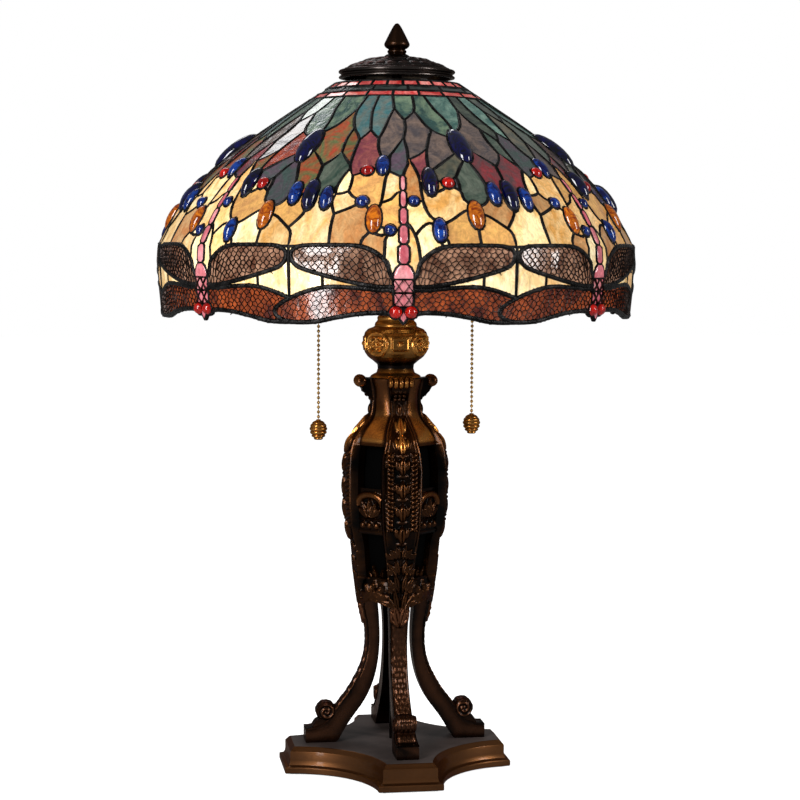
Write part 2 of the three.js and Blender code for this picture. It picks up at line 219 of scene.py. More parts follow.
# Lead lines of the crown in one panel: degrees from the panel's centre, and height up the slope.
CROWN_LINES = [
    # long pointed leaves under the brick rows
    [(-19.6, 211), (-20.8, 195), (-21.4, 183)], [(-12.5, 211), (-13.4, 185), (-12.6, 165), (-11.4, 146)],
    [(-4.2, 211), (-3.4, 195), (-2.9, 184)], [(8.0, 211), (7.4, 190), (6.5, 179)],
    [(15.2, 211), (17.2, 185), (19.4, 168), (20.2, 152), (19.8, 140)],
    [(-21.4, 183), (-20.6, 168), (-18.2, 150), (-16, 140), (-14.6, 131)],
    [(-11.4, 146), (-13, 138), (-14.6, 131)], [(-11.4, 146), (-9.6, 139), (-7.9, 133)],
    [(-2.9, 184), (-5, 168), (-6.4, 150), (-7.9, 133)], [(-2.9, 184), (-0.6, 174), (1.6, 164)],
    [(6.5, 179), (4, 171), (1.6, 164)], [(6.5, 179), (8.3, 168), (10, 155), (11.6, 147)],
    [(11.6, 147), (13.4, 142), (18.6, 133)], [(-21.4, 183), (-24.2, 168), (-27, 154), (-31, 142)],
    # second tier
    [(-18.2, 150), (-19.2, 135), (-19.2, 122), (-18.9, 110)], [(-18.9, 110), (-20.8, 101), (-23.2, 92)],
    [(-18.9, 110), (-17, 102), (-15, 93)], [(-14.6, 131), (-14.9, 117), (-15, 104), (-15, 93)],
    [(-30.8, 118), (-27.2, 108), (-25.2, 101), (-23.2, 92)],
    [(-7.9, 133), (-7.6, 120), (-6.6, 108), (-5.5, 98)], [(1.6, 164), (1.7, 150), (0.7, 133)],
    [(0.7, 133), (-1.2, 122), (-3.6, 107), (-5.5, 98)], [(0.7, 133), (1.6, 117), (1.9, 100)],
    [(11.6, 147), (9.6, 133), (7.9, 116)], [(7.9, 116), (5, 107), (1.9, 100)],
    [(-3.6, 107), (-3.9, 95), (-3.6, 83)], [(-3.6, 83), (-1.6, 79), (0, 76)],
    [(1.9, 100), (1.6, 93), (0.6, 84), (0, 76)], [(1.9, 100), (3.4, 88), (4.5, 74), (4.6, 60), (4.8, 48)],
    [(7.9, 116), (7.4, 103), (7.3, 84)], [(18.4, 113), (13, 100), (7.9, 84)],
    [(19.2, 101), (16.8, 91), (14.5, 77)], [(19.6, 101), (20.4, 92), (21.8, 77), (22.6, 62)],
    [(11.9, 69), (13.2, 73), (14.5, 77)], [(14.5, 77), (14.8, 68), (14.6, 60)],
    [(-23.2, 92), (-23.2, 80), (-23.4, 64)], [(-15, 93), (-14.6, 87)],
    # large pale pieces
    [(-14.6, 87), (-16, 77), (-16.9, 66), (-17, 56)], [(-14.6, 87), (-13.4, 78)],
    [(-13.4, 78), (-13.4, 68), (-13.7, 59)], [(-17, 56), (-15.4, 56.5), (-13.7, 59)],
    [(-13.4, 78), (-9.7, 77.5), (-4.5, 76)], [(-3.6, 83), (-4.5, 75), (-4.9, 60), (-5.3, 46), (-6, 40)],
    [(-13.7, 59), (-12.4, 53), (-9.9, 47)], [(-9.9, 47), (-12.6, 40.5), (-16.3, 34)],
    [(-17, 56), (-17.4, 46), (-16.3, 34)], [(-9.9, 47), (-7.4, 51.5), (-5.2, 50)],
    [(-9.9, 47), (-8.4, 40), (-7.4, 34)], [(-5.3, 46), (-3, 50), (-1.4, 57), (0, 58)],
    [(-16.3, 34), (-16.6, 20), (-16.3, -9)], [(-6.8, 22), (-8, 13.5), (-9.2, 7), (-9.8, -9)],
    [(-7.2, 15), (-4.8, 12), (-3, 16)], [(-3, 16), (-4, 8), (-4.1, 0), (-4.3, -18)],
    [(2.6, 12), (3.1, 4), (3.8, -17)], [(8.2, 22), (5.8, 24.5), (3.9, 19), (2.6, 12)],
    [(2.6, 12), (1.4, 22), (0, 26)], [(4.8, 48), (5.2, 41), (6.2, 32), (8.2, 24)],
    [(8.2, 22), (11, 27.5), (14.6, 37), (17.3, 40)], [(7.3, 60), (9.2, 59.5), (11.9, 66)],
    [(11.9, 66), (14.6, 60), (15.2, 50), (17.3, 42)], [(22.6, 60), (21, 48), (18.6, 42)],
    [(18.6, 34), (20.8, 31), (24.5, 19.5)], [(24.5, 19.5), (27.3, 34), (28, 46)],
    [(24.5, 19.5), (25.5, 13), (25.7, -6)], [(17.3, 24), (17.2, 12), (17.3, -9)], [(8.2, 12), (8.6, -9)],
    [(8.6, 12), (9.8, 6), (10.4, -9)],
    # short joints between neighbouring jewels
    [(23.6, 57), (28, 56), (32.4, 52)], [(-9.7, 84), (-5.5, 90)], [(7.3, 72), (11.9, 70)],
    [(-3, 17.3), (0, 17.3)], [(2.6, 48), (0, 48)], [(2.6, 48), (4.8, 48)], [(-3, 18), (-6.8, 22)],
    [(-13.4, 78), (-9.7, 84)], [(3.6, 72), (7.3, 72)], [(-19, 52), (-17, 56)], [(-16.9, 66), (-19, 54)],
]

# Glass jewels: colour, degrees, height up the slope, half-width, half-length, dome.
COBALT, NIGHT, RUBY, HONEY = "cobalt", "night", "ruby", "honey"
JEWELS = [
    (NIGHT, 19.6, 122, 9.4, 26, 8), (COBALT, -5.5, 92, 5.9, 13.5, 5), (RUBY, -9.7, 84, 5.9, 6, 5),
    (NIGHT, 7.1, 71, 6.8, 17.5, 7), (RUBY, 11.9, 69, 6, 6.6, 5), (COBALT, -9.9, 47.3, 5.9, 6.2, 5),
    (COBALT, 2.6, 48, 4.8, 5.4, 4.5), (HONEY, -6.8, 28.6, 7, 14.8, 6), (COBALT, -3, 17.3, 5, 5.5, 4.5),
    (COBALT, 8.2, 17.3, 6.2, 12.5, 6), (HONEY, 17.3, 33.5, 7.4, 15.5, 6), (COBALT, 23.6, 57, 6.4, 13.5, 6),
    (NIGHT, 28, 55.5, 7, 18, 7), (COBALT, 32.4, 51.5, 6.1, 13.2, 6),
]


def smooth_line(points, steps=3):
    """An open curve through the points, rounding each corner a little."""
    if len(points) < 3:
        return list(points)
    ends = [points[0]] + list(points) + [points[-1]]
    made = []
    for p0, p1, p2, p3 in zip(ends, ends[1:], ends[2:], ends[3:]):
        for step in range(steps):
            made.append(spline_point(p0, p1, p2, p3, step / steps))
    made.append(tuple(points[-1]))
    return made


def spline_point(p0, p1, p2, p3, t):
    """The point at share t between p1 and p2, on a curve through all four points."""
    return tuple(
        0.5 * (2 * b + (c - a) * t + (2 * a - 5 * b + 4 * c - d) * t * t + (3 * b - a - 3 * c + d) * t ** 3)
        for a, b, c, d in zip(p0, p1, p2, p3)
    )


def smooth_loop(points, steps):
    """A closed curve through the points."""
    made = []
    count = len(points)
    for i in range(count):
        near = [points[(i + k - 1) % count] for k in range(4)]
        made += [spline_point(*near, step / steps) for step in range(steps)]
    return made


def oval(x, v, half_x, half_v):
    """An oval outline round (x, v)."""
    return [(x + half_x * math.cos(a), v + half_v * math.sin(a)) for a in steps_round(OVAL_SIDES)]


def barrel(low, high, half, bulge=0.75):
    """A tail segment: an upright block with softly rounded ends."""
    middle = (low + high) / 2
    right = [(half * bulge * 0.6, low), (half * 0.95, low + 3), (half, middle), (half * 0.95, high - 3),
             (half * bulge * 0.6, high)]
    return right + [(-x, v) for x, v in reversed(right)]


UPPER_WING = [(7, -34), (12, -24), (15, -14), (23, -6), (32, -1), (44, 1.8), (68, 2.2), (91, 1.6),
              (100, -1.5), (103, -7), (100.5, -14), (92, -19.5), (69, -26), (45, -31.5), (23, -35)]
LOWER_WING = [(7, -40), (24, -38), (46, -36), (68, -35.5), (86, -39), (102, -44.5), (115, -51),
              (121.5, -57.5), (117, -63.5), (105, -67), (82, -66.5), (62, -62.5), (40, -59), (20, -58),
              (7, -58)]


def mirrored(outline):
    """The outline flipped from one side of the dragonfly to the other."""
    return [(-x, v) for x, v in reversed(outline)]


# Tail segments: low end, high end, half-width.
TAIL = [(59.5, 78, 2.7), (40.5, 59.5, 3.1), (22.5, 40.5, 3.6), (3, 22.5, 4.2), (-15.5, 3, 5)]


THORAX = [(-3.2, -15.5), (3.2, -15.5), (6.6, -18.5), (8.8, -23), (9.4, -28.5), (-9.4, -28.5), (-8.8, -23),
          (-6.6, -18.5)]
UPPER_BAND = [(-9.4, -28.5), (9.4, -28.5), (9.2, -40.5), (-9.2, -40.5)]
LOWER_BAND = [(-9.2, -40.5), (9.2, -40.5), (8.6, -53), (-8.6, -53)]
NOSE = [(-5, -57), (5, -57), (3.4, -63), (0, -67.5), (-3.4, -63)]


def body_outlines():
    """The dragonfly's glass body: tail segments, thorax, neck bands, nose and eyes, with each one's dome."""
    shapes = [("rose", barrel(low, high, half), 1.6) for low, high, half in TAIL]
    for outline, rise in ((THORAX, 2.4), (UPPER_BAND, 1.6), (LOWER_BAND, 1.6), (NOSE, 1.4)):
        shapes.append(("rose", outline, rise))
    for side in (-1, 1):
        shapes.append((RUBY, oval(side * 6.9, -57.5, 5.9, 5.6), 6))
    return shapes


class Shape:
    """An outline in the cartoon. A higher rank hides the lines of lower ranks inside it."""

    def __init__(self, kind, outline, rank, dome=0.0, glass=None):
        self.kind = kind
        self.outline = outline
        self.rank = rank
        self.dome = dome
        self.glass = glass
        xs, vs = [p[0] for p in outline], [p[1] for p in outline]
        self.box = (min(xs), max(xs), min(vs), max(vs))

    def shifted(self, dx):
        """The same shape moved round the rim."""
        return Shape(self.kind, [(x + dx, v) for x, v in self.outline], self.rank, self.dome, self.glass)

    def holds(self, x, v):
        """True if the point is inside the outline."""
        if not (self.box[0] <= x <= self.box[1] and self.box[2] <= v <= self.box[3]):
            return False
        inside = False
        for (x1, v1), (x2, v2) in zip(self.outline, self.outline[1:] + self.outline[:1]):
            if (v1 > v) != (v2 > v) and x < (x2 - x1) * (v - v1) / (v2 - v1) + x1:
                inside = not inside
        return inside


def panel_shapes():
    """The wings, body and jewels of one panel."""
    wings = [("upper", UPPER_WING, 2), ("upper", mirrored(UPPER_WING), 2),
             ("lower", LOWER_WING, 2), ("lower", mirrored(LOWER_WING), 3)]
    shapes = [Shape("wing", smooth_loop(outline, 4), rank, glass=glass) for glass, outline, rank in wings]
    for glass, outline, dome in body_outlines():
        rank = 6 if glass == RUBY else 5
        shapes.append(Shape("body", outline, rank, dome, glass))
    for glass, degrees, v, half_x, half_v, dome in JEWELS:
        x = math.radians(degrees) * RIM_R
        stretch = RIM_R / np.interp(v, SLOPE_V, SLOPE_R)
        shapes.append(Shape("jewel", oval(x, v, half_x * stretch, half_v), 4, dome, glass))
    return shapes


def clip_cell(cell, point, other):
    """The part of a convex cell that is nearer to point than to other. Each edge remembers its neighbour."""
    middle = ((point[0] + other[0]) / 2, (point[1] + other[1]) / 2)
    normal = (other[0] - point[0], other[1] - point[1])
    kept = []
    for (a, label), (b, _) in zip(cell, cell[1:] + cell[:1]):
        da = (a[0] - middle[0]) * normal[0] + (a[1] - middle[1]) * normal[1]
        db = (b[0] - middle[0]) * normal[0] + (b[1] - middle[1]) * normal[1]
        if da <= 0:
            kept.append((a, label))
        if (da <= 0) != (db <= 0):
            t = da / (da - db)
            cut = (a[0] + (b[0] - a[0]) * t, a[1] + (b[1] - a[1]) * t)
            kept.append((cut, other if da <= 0 else label))
    return kept


def cell_edges(seeds, box, reach):
    """Edges between the nearest-point cells of the seeds, each edge once."""
    low_x, high_x, low_v, high_v = box
    found = []
    for seed in seeds:
        cell = [((seed[0] + low_x, low_v), None), ((seed[0] + high_x, low_v), None),
                ((seed[0] + high_x, high_v), None), ((seed[0] + low_x, high_v), None)]
        near = sorted((math.dist(seed, other), other) for other in seeds)
        for distance, other in near:
            if 0 < distance < reach:
                cell = clip_cell(cell, seed, other)
        for (a, label), (b, _) in zip(cell, cell[1:] + cell[:1]):
            if label and label > seed and math.dist(a, b) > 0.3:
                found.append((a, b))
    return found


def crown_lines():
    """The crown's lead lines as smooth curves, in millimetres."""
    return [[(math.radians(d) * RIM_R, v) for d, v in smooth_line(line)] for line in CROWN_LINES]


def seam_lines():
    """Straight lead lines of one panel: brick rows, and the upright bars between the wings."""
    lines = []
    for (high, low), count in zip(zip(ROWS, ROWS[1:]), ROW_PIECES):
        for i in range(count):
            x = (i + 0.25) * WIDE / count - WIDE / 2
            lines.append([(x, low), (x + 1.5, high)])
    lines.append([(WIDE / 2, 1), (WIDE / 2, -60)])
    lines.append([(0, -66), (0, 78)])
    lines.append([(WIDE / 2 - 16, 0.8), (WIDE / 2 + 16, 0.8)])
    for side in (-1, 1):
        lines.append([(side * 73, -20), (side * 73, -42)])
        lines.append([(0, -54), (side * 9, -53), (side * 14, -57)])
        lines.append([(side * 5, -31), (side * 14, -33), (side * 14, -40)])
    return lines


SOFT_BARS = 14  # unleaded upright lines that let skirt glass follow the curve
REACH = 1.7 * WIDE  # lines round the shade run this far to each side of the middle panel
SNAP = 0.02  # points nearer than this become one


def face_sides(face):
    """The sides of a face, each as a sorted pair of its corners."""
    return [tuple(sorted(pair)) for pair in zip(face, list(face[1:]) + [face[0]])]


class Cartoon:
    """The flat pieces and lead edges of one panel, worked out on three neighbouring panels."""

    def __init__(self):
        self.points, self.edges, self.kinds, self.shapes = [], [], [], []
        self.draw()
        vectors = [Vector(p) for p in self.points]
        out_v, out_e, out_f, _, from_e, _ = geometry.delaunay_2d_cdt(vectors, self.edges, [], 0, SNAP)
        self.flat = [tuple(v) for v in out_v]
        self.triangles = out_f
        self.lead = {tuple(sorted(edge)): self.shown_kind(edge, sources)
                     for edge, sources in zip(out_e, from_e)}
        self.groups = self.group_triangles()

    def put(self, line, kind, rank, closed=False):
        """Draws one line of the given kind and rank."""
        base = len(self.points)
        self.points.extend(line)
        for i in range(len(line) if closed else len(line) - 1):
            self.edges.append((base + i, base + (i + 1) % len(line)))
            self.kinds.append((kind, rank))

    def draw(self):
        """Draws the lines and shapes of three panels."""
        lines = crown_lines() + seam_lines()
        for shift in (-WIDE, 0, WIDE):
            for line in lines:
                self.put([(x + shift, v) for x, v in line], "line", 1)
            for shape in panel_shapes():
                moved = shape.shifted(shift)
                self.shapes.append(moved)
                self.put(moved.outline, shape.kind, shape.rank, closed=True)
            for i in range(SOFT_BARS):
                x = shift + (i + 0.5) * WIDE / SOFT_BARS - WIDE / 2
                self.put([(x, 0), (x, SKIRT_FOOT)], "soft", 0)
        for v in ROWS:
            self.put([(-REACH, v), (REACH, v)], "line", 1)
        self.put([(-REACH, 0), (REACH, 0)], "soft", 0)

    def shown_kind(self, edge, sources):
        """The lead an edge carries, or None where it is soft or hidden under a shape."""
        real = [self.kinds[s] for s in sources if self.kinds[s][0] != "soft"]
        if not real:
            return None
        kind, rank = max(real, key=lambda k: k[1])
        x = (self.flat[edge[0]][0] + self.flat[edge[1]][0]) / 2
        v = (self.flat[edge[0]][1] + self.flat[edge[1]][1]) / 2
        if any(shape.rank > rank and shape.holds(x, v) for shape in self.shapes):
            return None
        return kind

    def group_triangles(self):
        """Triangles gathered into glass pieces, and no lead left on lines that divide nothing."""
        beside = {}
        for index, face in enumerate(self.triangles):
            for side in face_sides(face):
                beside.setdefault(side, []).append(index)
        group = [-1] * len(self.triangles)
        groups = []
        for start in range(len(self.triangles)):
            if group[start] >= 0:
                continue
            members, stack = [], [start]
            group[start] = len(groups)
            while stack:
                index = stack.pop()
                members.append(index)
                for side in face_sides(self.triangles[index]):
                    if self.lead.get(side) is not None:
                        continue
                    for other in beside[side]:
                        if group[other] < 0:
                            group[other] = len(groups)
                            stack.append(other)
            groups.append(members)
        for side, found in beside.items():
            loose = len(found) == 2 and group[found[0]] == group[found[1]]
            if loose and self.lead.get(side) == "line":
                self.lead[side] = None
        return groups


EDGE_SHIFT = 0.37  # moves the panel's edge off the seams, so that ties fall on one side


def in_window(x):
    """True for the middle panel."""
    return -WIDE / 2 <= x - EDGE_SHIFT < WIDE / 2


# ---- materials ----
def new_material(name):
    """A material with its node tree and its main shader."""
    material = bpy.data.materials.new(name)
    material.use_nodes = True
    return material, material.node_tree, material.node_tree.nodes["Principled BSDF"]


def add_node(tree, kind, **settings):
    """A node with some of its inputs or properties set."""
    made = tree.nodes.new(kind)
    for key, value in settings.items():
        if key in made.inputs:
            made.inputs[key].default_value = value
        else:
            setattr(made, key, value)
    return made


def noise_node(tree, vector, scale, detail=3.0, rough=0.55, distortion=0.0):
    """Cloudy noise. The scale counts lumps per metre."""
    made = add_node(tree, "ShaderNodeTexNoise", Scale=scale, Detail=detail, Roughness=rough,
                    Distortion=distortion)
    tree.links.new(vector, made.inputs["Vector"])
    return made


def ramp_node(tree, factor, stops):
    """A colour ramp from (place, colour) stops."""
    made = tree.nodes.new("ShaderNodeValToRGB")
    elements = made.color_ramp.elements
    while len(elements) < len(stops):
        elements.new(0.5)
    for element, (place, colour) in zip(elements, stops):
        element.position = place
        element.color = (*colour, 1) if len(colour) == 3 else colour
    tree.links.new(factor, made.inputs["Fac"])
    return made


def mix_node(tree, factor, a, b, blend="MIX"):
    """Two colours mixed."""
    made = tree.nodes.new("ShaderNodeMix")
    made.data_type = "RGBA"
    made.blend_type = blend
    for socket, value in ((made.inputs["Factor"], factor), (made.inputs["A"], a), (made.inputs["B"], b)):
        put_value(tree, socket, value)
    return made.outputs["Result"]


def put_value(tree, socket, value):
    """Sets a socket to a number or a colour, or links it to another socket."""
    if isinstance(value, bpy.types.NodeSocket):
        tree.links.new(value, socket)
    elif isinstance(value, (tuple, list)):
        socket.default_value = (*value, 1) if len(value) == 3 else value
    else:
        socket.default_value = value


def math_node(tree, operation, a, b=0.0, clamp=False):
    """One sum on sockets or numbers."""
    made = tree.nodes.new("ShaderNodeMath")
    made.operation = operation
    made.use_clamp = clamp
    put_value(tree, made.inputs[0], a)
    put_value(tree, made.inputs[1], b)
    return made.outputs[0]


def object_vector(tree):
    """The place on the object, in metres."""
    return tree.nodes.new("ShaderNodeTexCoord").outputs["Object"]


def bump(tree, shader, heights, strength, distance):
    """Bumps the shader by one or more heights added together."""
    total = heights[0]
    for height in heights[1:]:
        total = math_node(tree, "ADD", total, height)
    made = add_node(tree, "ShaderNodeBump", Strength=strength, Distance=distance)
    tree.links.new(total, made.inputs["Height"])
    tree.links.new(made.outputs["Normal"], shader.inputs["Normal"])


def piece_colours(tree):
    """What each glass piece carries: its tint, its streak colour, a seed for its pattern and the strength of
    its painted glow.
    """
    tint, streak, extra = (add_node(tree, "ShaderNodeAttribute", attribute_name=name).outputs["Color"]
                           for name in ("tint", "streak", "extra"))
    parts = tree.nodes.new("ShaderNodeSeparateColor")
    tree.links.new(extra, parts.inputs["Color"])
    return tint, streak, parts.outputs["Red"], parts.outputs["Green"]


def glass_material():
    """Opalescent sheet glass: two colours swirled together, different in each piece, with a painted glow in
    those colours standing in for the bulbs' light from behind.
    """
    material, tree, shader = new_material("opalescent_glass")
    tint, streak, seed, glow = piece_colours(tree)
    mapping = tree.nodes.new("ShaderNodeMapping")
    tree.links.new(object_vector(tree), mapping.inputs["Vector"])
    mapping.inputs["Scale"].default_value = (1, 1, 0.55)
    offset = tree.nodes.new("ShaderNodeCombineXYZ")
    for axis, reach in (("X", 3.0), ("Y", 7.0), ("Z", 5.0)):
        tree.links.new(math_node(tree, "MULTIPLY", seed, reach), offset.inputs[axis])
    tree.links.new(offset.outputs[0], mapping.inputs["Location"])
    place = mapping.outputs["Vector"]
    swirl = noise_node(tree, place, 42, 4, 0.6, 1.6)
    wisp = noise_node(tree, place, 130, 3, 0.65, 2.5)
    share = ramp_node(tree, swirl.outputs["Fac"], [(0.38, (0, 0, 0)), (0.62, (1, 1, 1))]).outputs["Color"]
    colour = mix_node(tree, share, tint, streak)
    levels = [(0.3, (0.72,) * 3), (0.7, (1.22,) * 3)]
    shade_level = ramp_node(tree, wisp.outputs["Fac"], levels).outputs["Color"]
    colour = mix_node(tree, 1.0, colour, shade_level, "MULTIPLY")
    tree.links.new(colour, shader.inputs["Base Color"])
    tree.links.new(colour, shader.inputs["Emission Color"])
    lit = math_node(tree, "MULTIPLY", glow, math_node(tree, "ADD", swirl.outputs["Fac"], 0.45))
    tree.links.new(lit, shader.inputs["Emission Strength"])
    shader.inputs["Roughness"].default_value = 0.16
    shader.inputs["Coat Weight"].default_value = 0.35
    shader.inputs["Coat Roughness"].default_value = 0.08
    wave = noise_node(tree, place, 60, 2, 0.5, 0.6)
    fine = noise_node(tree, place, 420, 2, 0.5)
    fine_height = math_node(tree, "MULTIPLY", fine.outputs["Fac"], 0.18)
    bump(tree, shader, [wave.outputs["Fac"], fine_height], 0.35, 0.0022)
    return material


def jewel_material():
    """Pressed glass cabochons, clear and glossy, with a faint painted glow standing in for light from behind.
    """
    material, tree, shader = new_material("jewel_glass")
    tint, streak, _, glow = piece_colours(tree)
    swirl = noise_node(tree, object_vector(tree), 110, 3, 0.6, 2.0)
    share = ramp_node(tree, swirl.outputs["Fac"], [(0.4, (0, 0, 0)), (0.65, (1, 1, 1))]).outputs["Color"]
    colour = mix_node(tree, share, tint, streak)
    tree.links.new(colour, shader.inputs["Base Color"])
    tree.links.new(colour, shader.inputs["Emission Color"])
    tree.links.new(glow, shader.inputs["Emission Strength"])
    shader.inputs["Roughness"].default_value = 0.06
    shader.inputs["Coat Weight"].default_value = 0.3
    shader.inputs["Coat Roughness"].default_value = 0.03
    ripple = noise_node(tree, object_vector(tree), 160, 2, 0.5)
    bump(tree, shader, [ripple.outputs["Fac"]], 0.12, 0.002)
    return material


def solder_material(name, colour, roughness, lumps):
    """Patinated solder: near black, with lumps and paler places of wear."""
    material, tree, shader = new_material(name)
    place = object_vector(tree)
    patches = noise_node(tree, place, 90, 4, 0.6)
    wear_and_highlight = tuple(min(1, c * 4 + 0.02) for c in colour)
    tone = ramp_node(tree, patches.outputs["Fac"], [(0.45, colour), (0.8, wear_and_highlight)])
    tree.links.new(tone.outputs["Color"], shader.inputs["Base Color"])
    gloss = ramp_node(tree, patches.outputs["Fac"], [(0.3, (roughness,) * 3), (0.8, (roughness + 0.25,) * 3)])
    tree.links.new(gloss.outputs["Color"], shader.inputs["Roughness"])
    shader.inputs["Metallic"].default_value = 0.85
    lumpy = noise_node(tree, place, 260, 3, 0.6)
    bump(tree, shader, [lumpy.outputs["Fac"]], lumps, 0.0016)
    return material


def bronze_material(name, deep, high, roughness, grain=0.3, patch_scale=28.0, gold=None, mottled=0.9):
    """Patinated bronze with mottled patches, coloured by each vertex's share of wear and painted light.

    A vertex at 0 is dark, at 1 it has the high colour, and at 2 the gold one. Where that share is a painted
    highlight or painted shade, the colour stands in for light.
    """
    material, tree, shader = new_material(name)
    place = object_vector(tree)
    wear_and_light = add_node(tree, "ShaderNodeAttribute", attribute_name="wear_and_light").outputs["Fac"]
    patches = noise_node(tree, place, patch_scale, 5, 0.62)
    grainy = noise_node(tree, place, 700, 3, 0.6)
    mottle = math_node(tree, "SUBTRACT", patches.outputs["Fac"], 0.5)
    level = math_node(tree, "ADD", wear_and_light, math_node(tree, "MULTIPLY", mottle, mottled))
    colour = mix_node(tree, math_node(tree, "ADD", level, 0.0, clamp=True), deep, high)
    if gold:
        colour = mix_node(tree, math_node(tree, "SUBTRACT", level, 1.0, clamp=True), colour, gold)
    tree.links.new(colour, shader.inputs["Base Color"])
    shader.inputs["Metallic"].default_value = 0.92
    shader.inputs["Specular Tint"].default_value = (0.35, 0.25, 0.18, 1)
    levels = [(0.3, (roughness + 0.14,) * 3), (0.75, (roughness,) * 3)]
    gloss = ramp_node(tree, patches.outputs["Fac"], levels)
    tree.links.new(gloss.outputs["Color"], shader.inputs["Roughness"])
    shader.inputs["Coat Weight"].default_value = 0.12
    shader.inputs["Coat Roughness"].default_value = 0.1
    pitted = math_node(tree, "MULTIPLY", patches.outputs["Fac"], 0.6)
    bump(tree, shader, [grainy.outputs["Fac"], pitted], grain, 0.0006)
    return material


def plain_material(name, deep, high, roughness, scale, lumps, shine=0.5):
    """A non-metal with faint mottling."""
    material, tree, shader = new_material(name)
    cloudy = noise_node(tree, object_vector(tree), scale, 4)
    tone = ramp_node(tree, cloudy.outputs["Fac"], [(0.3, deep), (0.7, high)])
    tree.links.new(tone.outputs["Color"], shader.inputs["Base Color"])
    shader.inputs["Roughness"].default_value = roughness
    shader.inputs["Specular IOR Level"].default_value = shine
    bump(tree, shader, [cloudy.outputs["Fac"]], lumps, 0.0004)
    return material


LEAD = solder_material("lead_patina", (0.004, 0.0035, 0.0035), 0.38, 0.35)
WING_LEAD = solder_material("wing_solder", (0.006, 0.0055, 0.0055), 0.26, 1.0)
FILIGREE = solder_material("filigree_metal", (0.02, 0.013, 0.011), 0.3, 0.5)
GLASS = glass_material()
JEWEL = jewel_material()


def screen(red, green, blue):
    """A colour as it looks on screen, 0 to 255, in the linear values that materials take."""
    return tuple((c / 255) ** 2.2 for c in (red, green, blue))


# Two swirled colours for each kind of glass, and how strongly the bulbs make it glow: a painted glow standing
# in for their light through the glass.
PALETTES = {
    TEAL: [(screen(52, 92, 86), screen(112, 142, 128)), (screen(40, 70, 66), screen(104, 124, 100)),
           (screen(60, 108, 112), screen(96, 106, 100)), (screen(30, 40, 38), screen(74, 84, 70))],
    MUTED: [(screen(70, 64, 66), screen(112, 94, 84)), (screen(54, 66, 60), screen(104, 96, 78)),
            (screen(44, 66, 56), screen(92, 100, 88)), (screen(86, 70, 82), screen(62, 78, 74))],
    WARM: [(screen(128, 44, 50), screen(80, 60, 62)), (screen(150, 60, 32), screen(92, 40, 40)),
           (screen(104, 48, 60), screen(140, 76, 70)), (screen(150, 58, 34), screen(86, 92, 56))],
    CREAM: [(screen(238, 200, 138), screen(252, 232, 186)), (screen(232, 184, 112), screen(250, 222, 166)),
            (screen(240, 210, 158), screen(222, 164, 92))],
    AMBER: [(screen(212, 152, 78), screen(236, 198, 138)), (screen(196, 142, 84), screen(220, 166, 92)),
            (screen(190, 146, 96), screen(172, 112, 62))],
    "brick": [(screen(170, 40, 40), screen(206, 112, 106)), (screen(204, 104, 96), screen(158, 36, 34)),
              (screen(214, 138, 130), screen(186, 66, 58))],
    "slate": [(screen(20, 26, 26), screen(44, 56, 52))],
    "upper": [(screen(104, 44, 26), screen(180, 112, 78)), (screen(94, 58, 42), screen(162, 122, 98))],
    "lower": [(screen(70, 24, 14), screen(160, 74, 34))],
    "rose": [(screen(200, 104, 112), screen(216, 144, 148)), (screen(188, 84, 96), screen(208, 122, 130))],
    COBALT: [(screen(4, 10, 60), screen(20, 60, 140))],
    NIGHT: [(screen(1, 2, 20), screen(7, 9, 62))],
    RUBY: [(screen(110, 6, 4), screen(176, 24, 10))],
    HONEY: [(screen(112, 44, 4), screen(196, 108, 20))],
}
GLOW = {TEAL: 0.05, MUTED: 0.06, WARM: 0.22, CREAM: 0.65, AMBER: 0.35, "brick": 0.25, "slate": 0.02,
        "upper": 0.45, "lower": 0.42, "rose": 0.3, COBALT: 0.05, NIGHT: 0.02, RUBY: 0.3, HONEY: 0.3}


def glass_mark(kind, rng, level=1.0):
    """The two colours, the swirl's seed and the painted glow of one glass piece."""
    tint, streak = rng.choice(PALETTES[kind])
    shift = rng.uniform(0.84, 1.12)
    glow = GLOW[kind] * min(level, 1.6)
    return tuple(c * shift for c in tint), tuple(c * shift for c in streak), (rng.random(), glow, 0)


# ---- leaded shade ----
GLASS_THICK = 2.4
GLASS_OUT = 0.2  # how much of that stands outside the glass's middle surface
FLATNESS = 0.8  # how nearly flat a crown piece is, 1 for wholly flat
OVAL_SIDES = 16
LEAD_SIDES = 8
BLOB_SIDES = 6
LEAD_SINK = 1.2  # how deep the middle of a lead lies


def sheet(build, corners_2d, triangles, flatness, shrink):
    """A glass piece: its cartoon triangles lifted on to the shade, eased flat, and given a thickness."""
    surface = [shade_point(x, v) for x, v in corners_2d]
    centre = sum(surface, Vector()) / len(surface)
    if flatness:
        spread = np.array([p - centre for p in surface])
        normal = Vector(np.linalg.svd(spread)[2][2])
        if normal.dot(Vector((centre.x, centre.y, 0))) < 0:
            normal = -normal
        lifted = [p - normal * (p - centre).dot(normal) * flatness for p in surface]
        normals = [normal] * len(surface)
    else:
        lifted = surface
        normals = [shade_normal(x, v) for x, v in corners_2d]
    lifted = [p + (centre - p).normalized() * shrink for p in lifted]
    count = len(lifted)
    verts = [p + n * GLASS_OUT for p, n in zip(lifted, normals)]
    verts += [p - n * (GLASS_THICK - GLASS_OUT) for p, n in zip(lifted, normals)]
    outer = [list(t) for t in triangles]
    inner = [[count + i for i in reversed(t)] for t in triangles]
    seen = dict.fromkeys(pair for a, b, c in outer for pair in ((a, b), (b, c), (c, a)))
    rims = [[a, count + a, count + b, b] for a, b in seen if (b, a) not in seen]
    build.add(verts, outer + inner + rims)


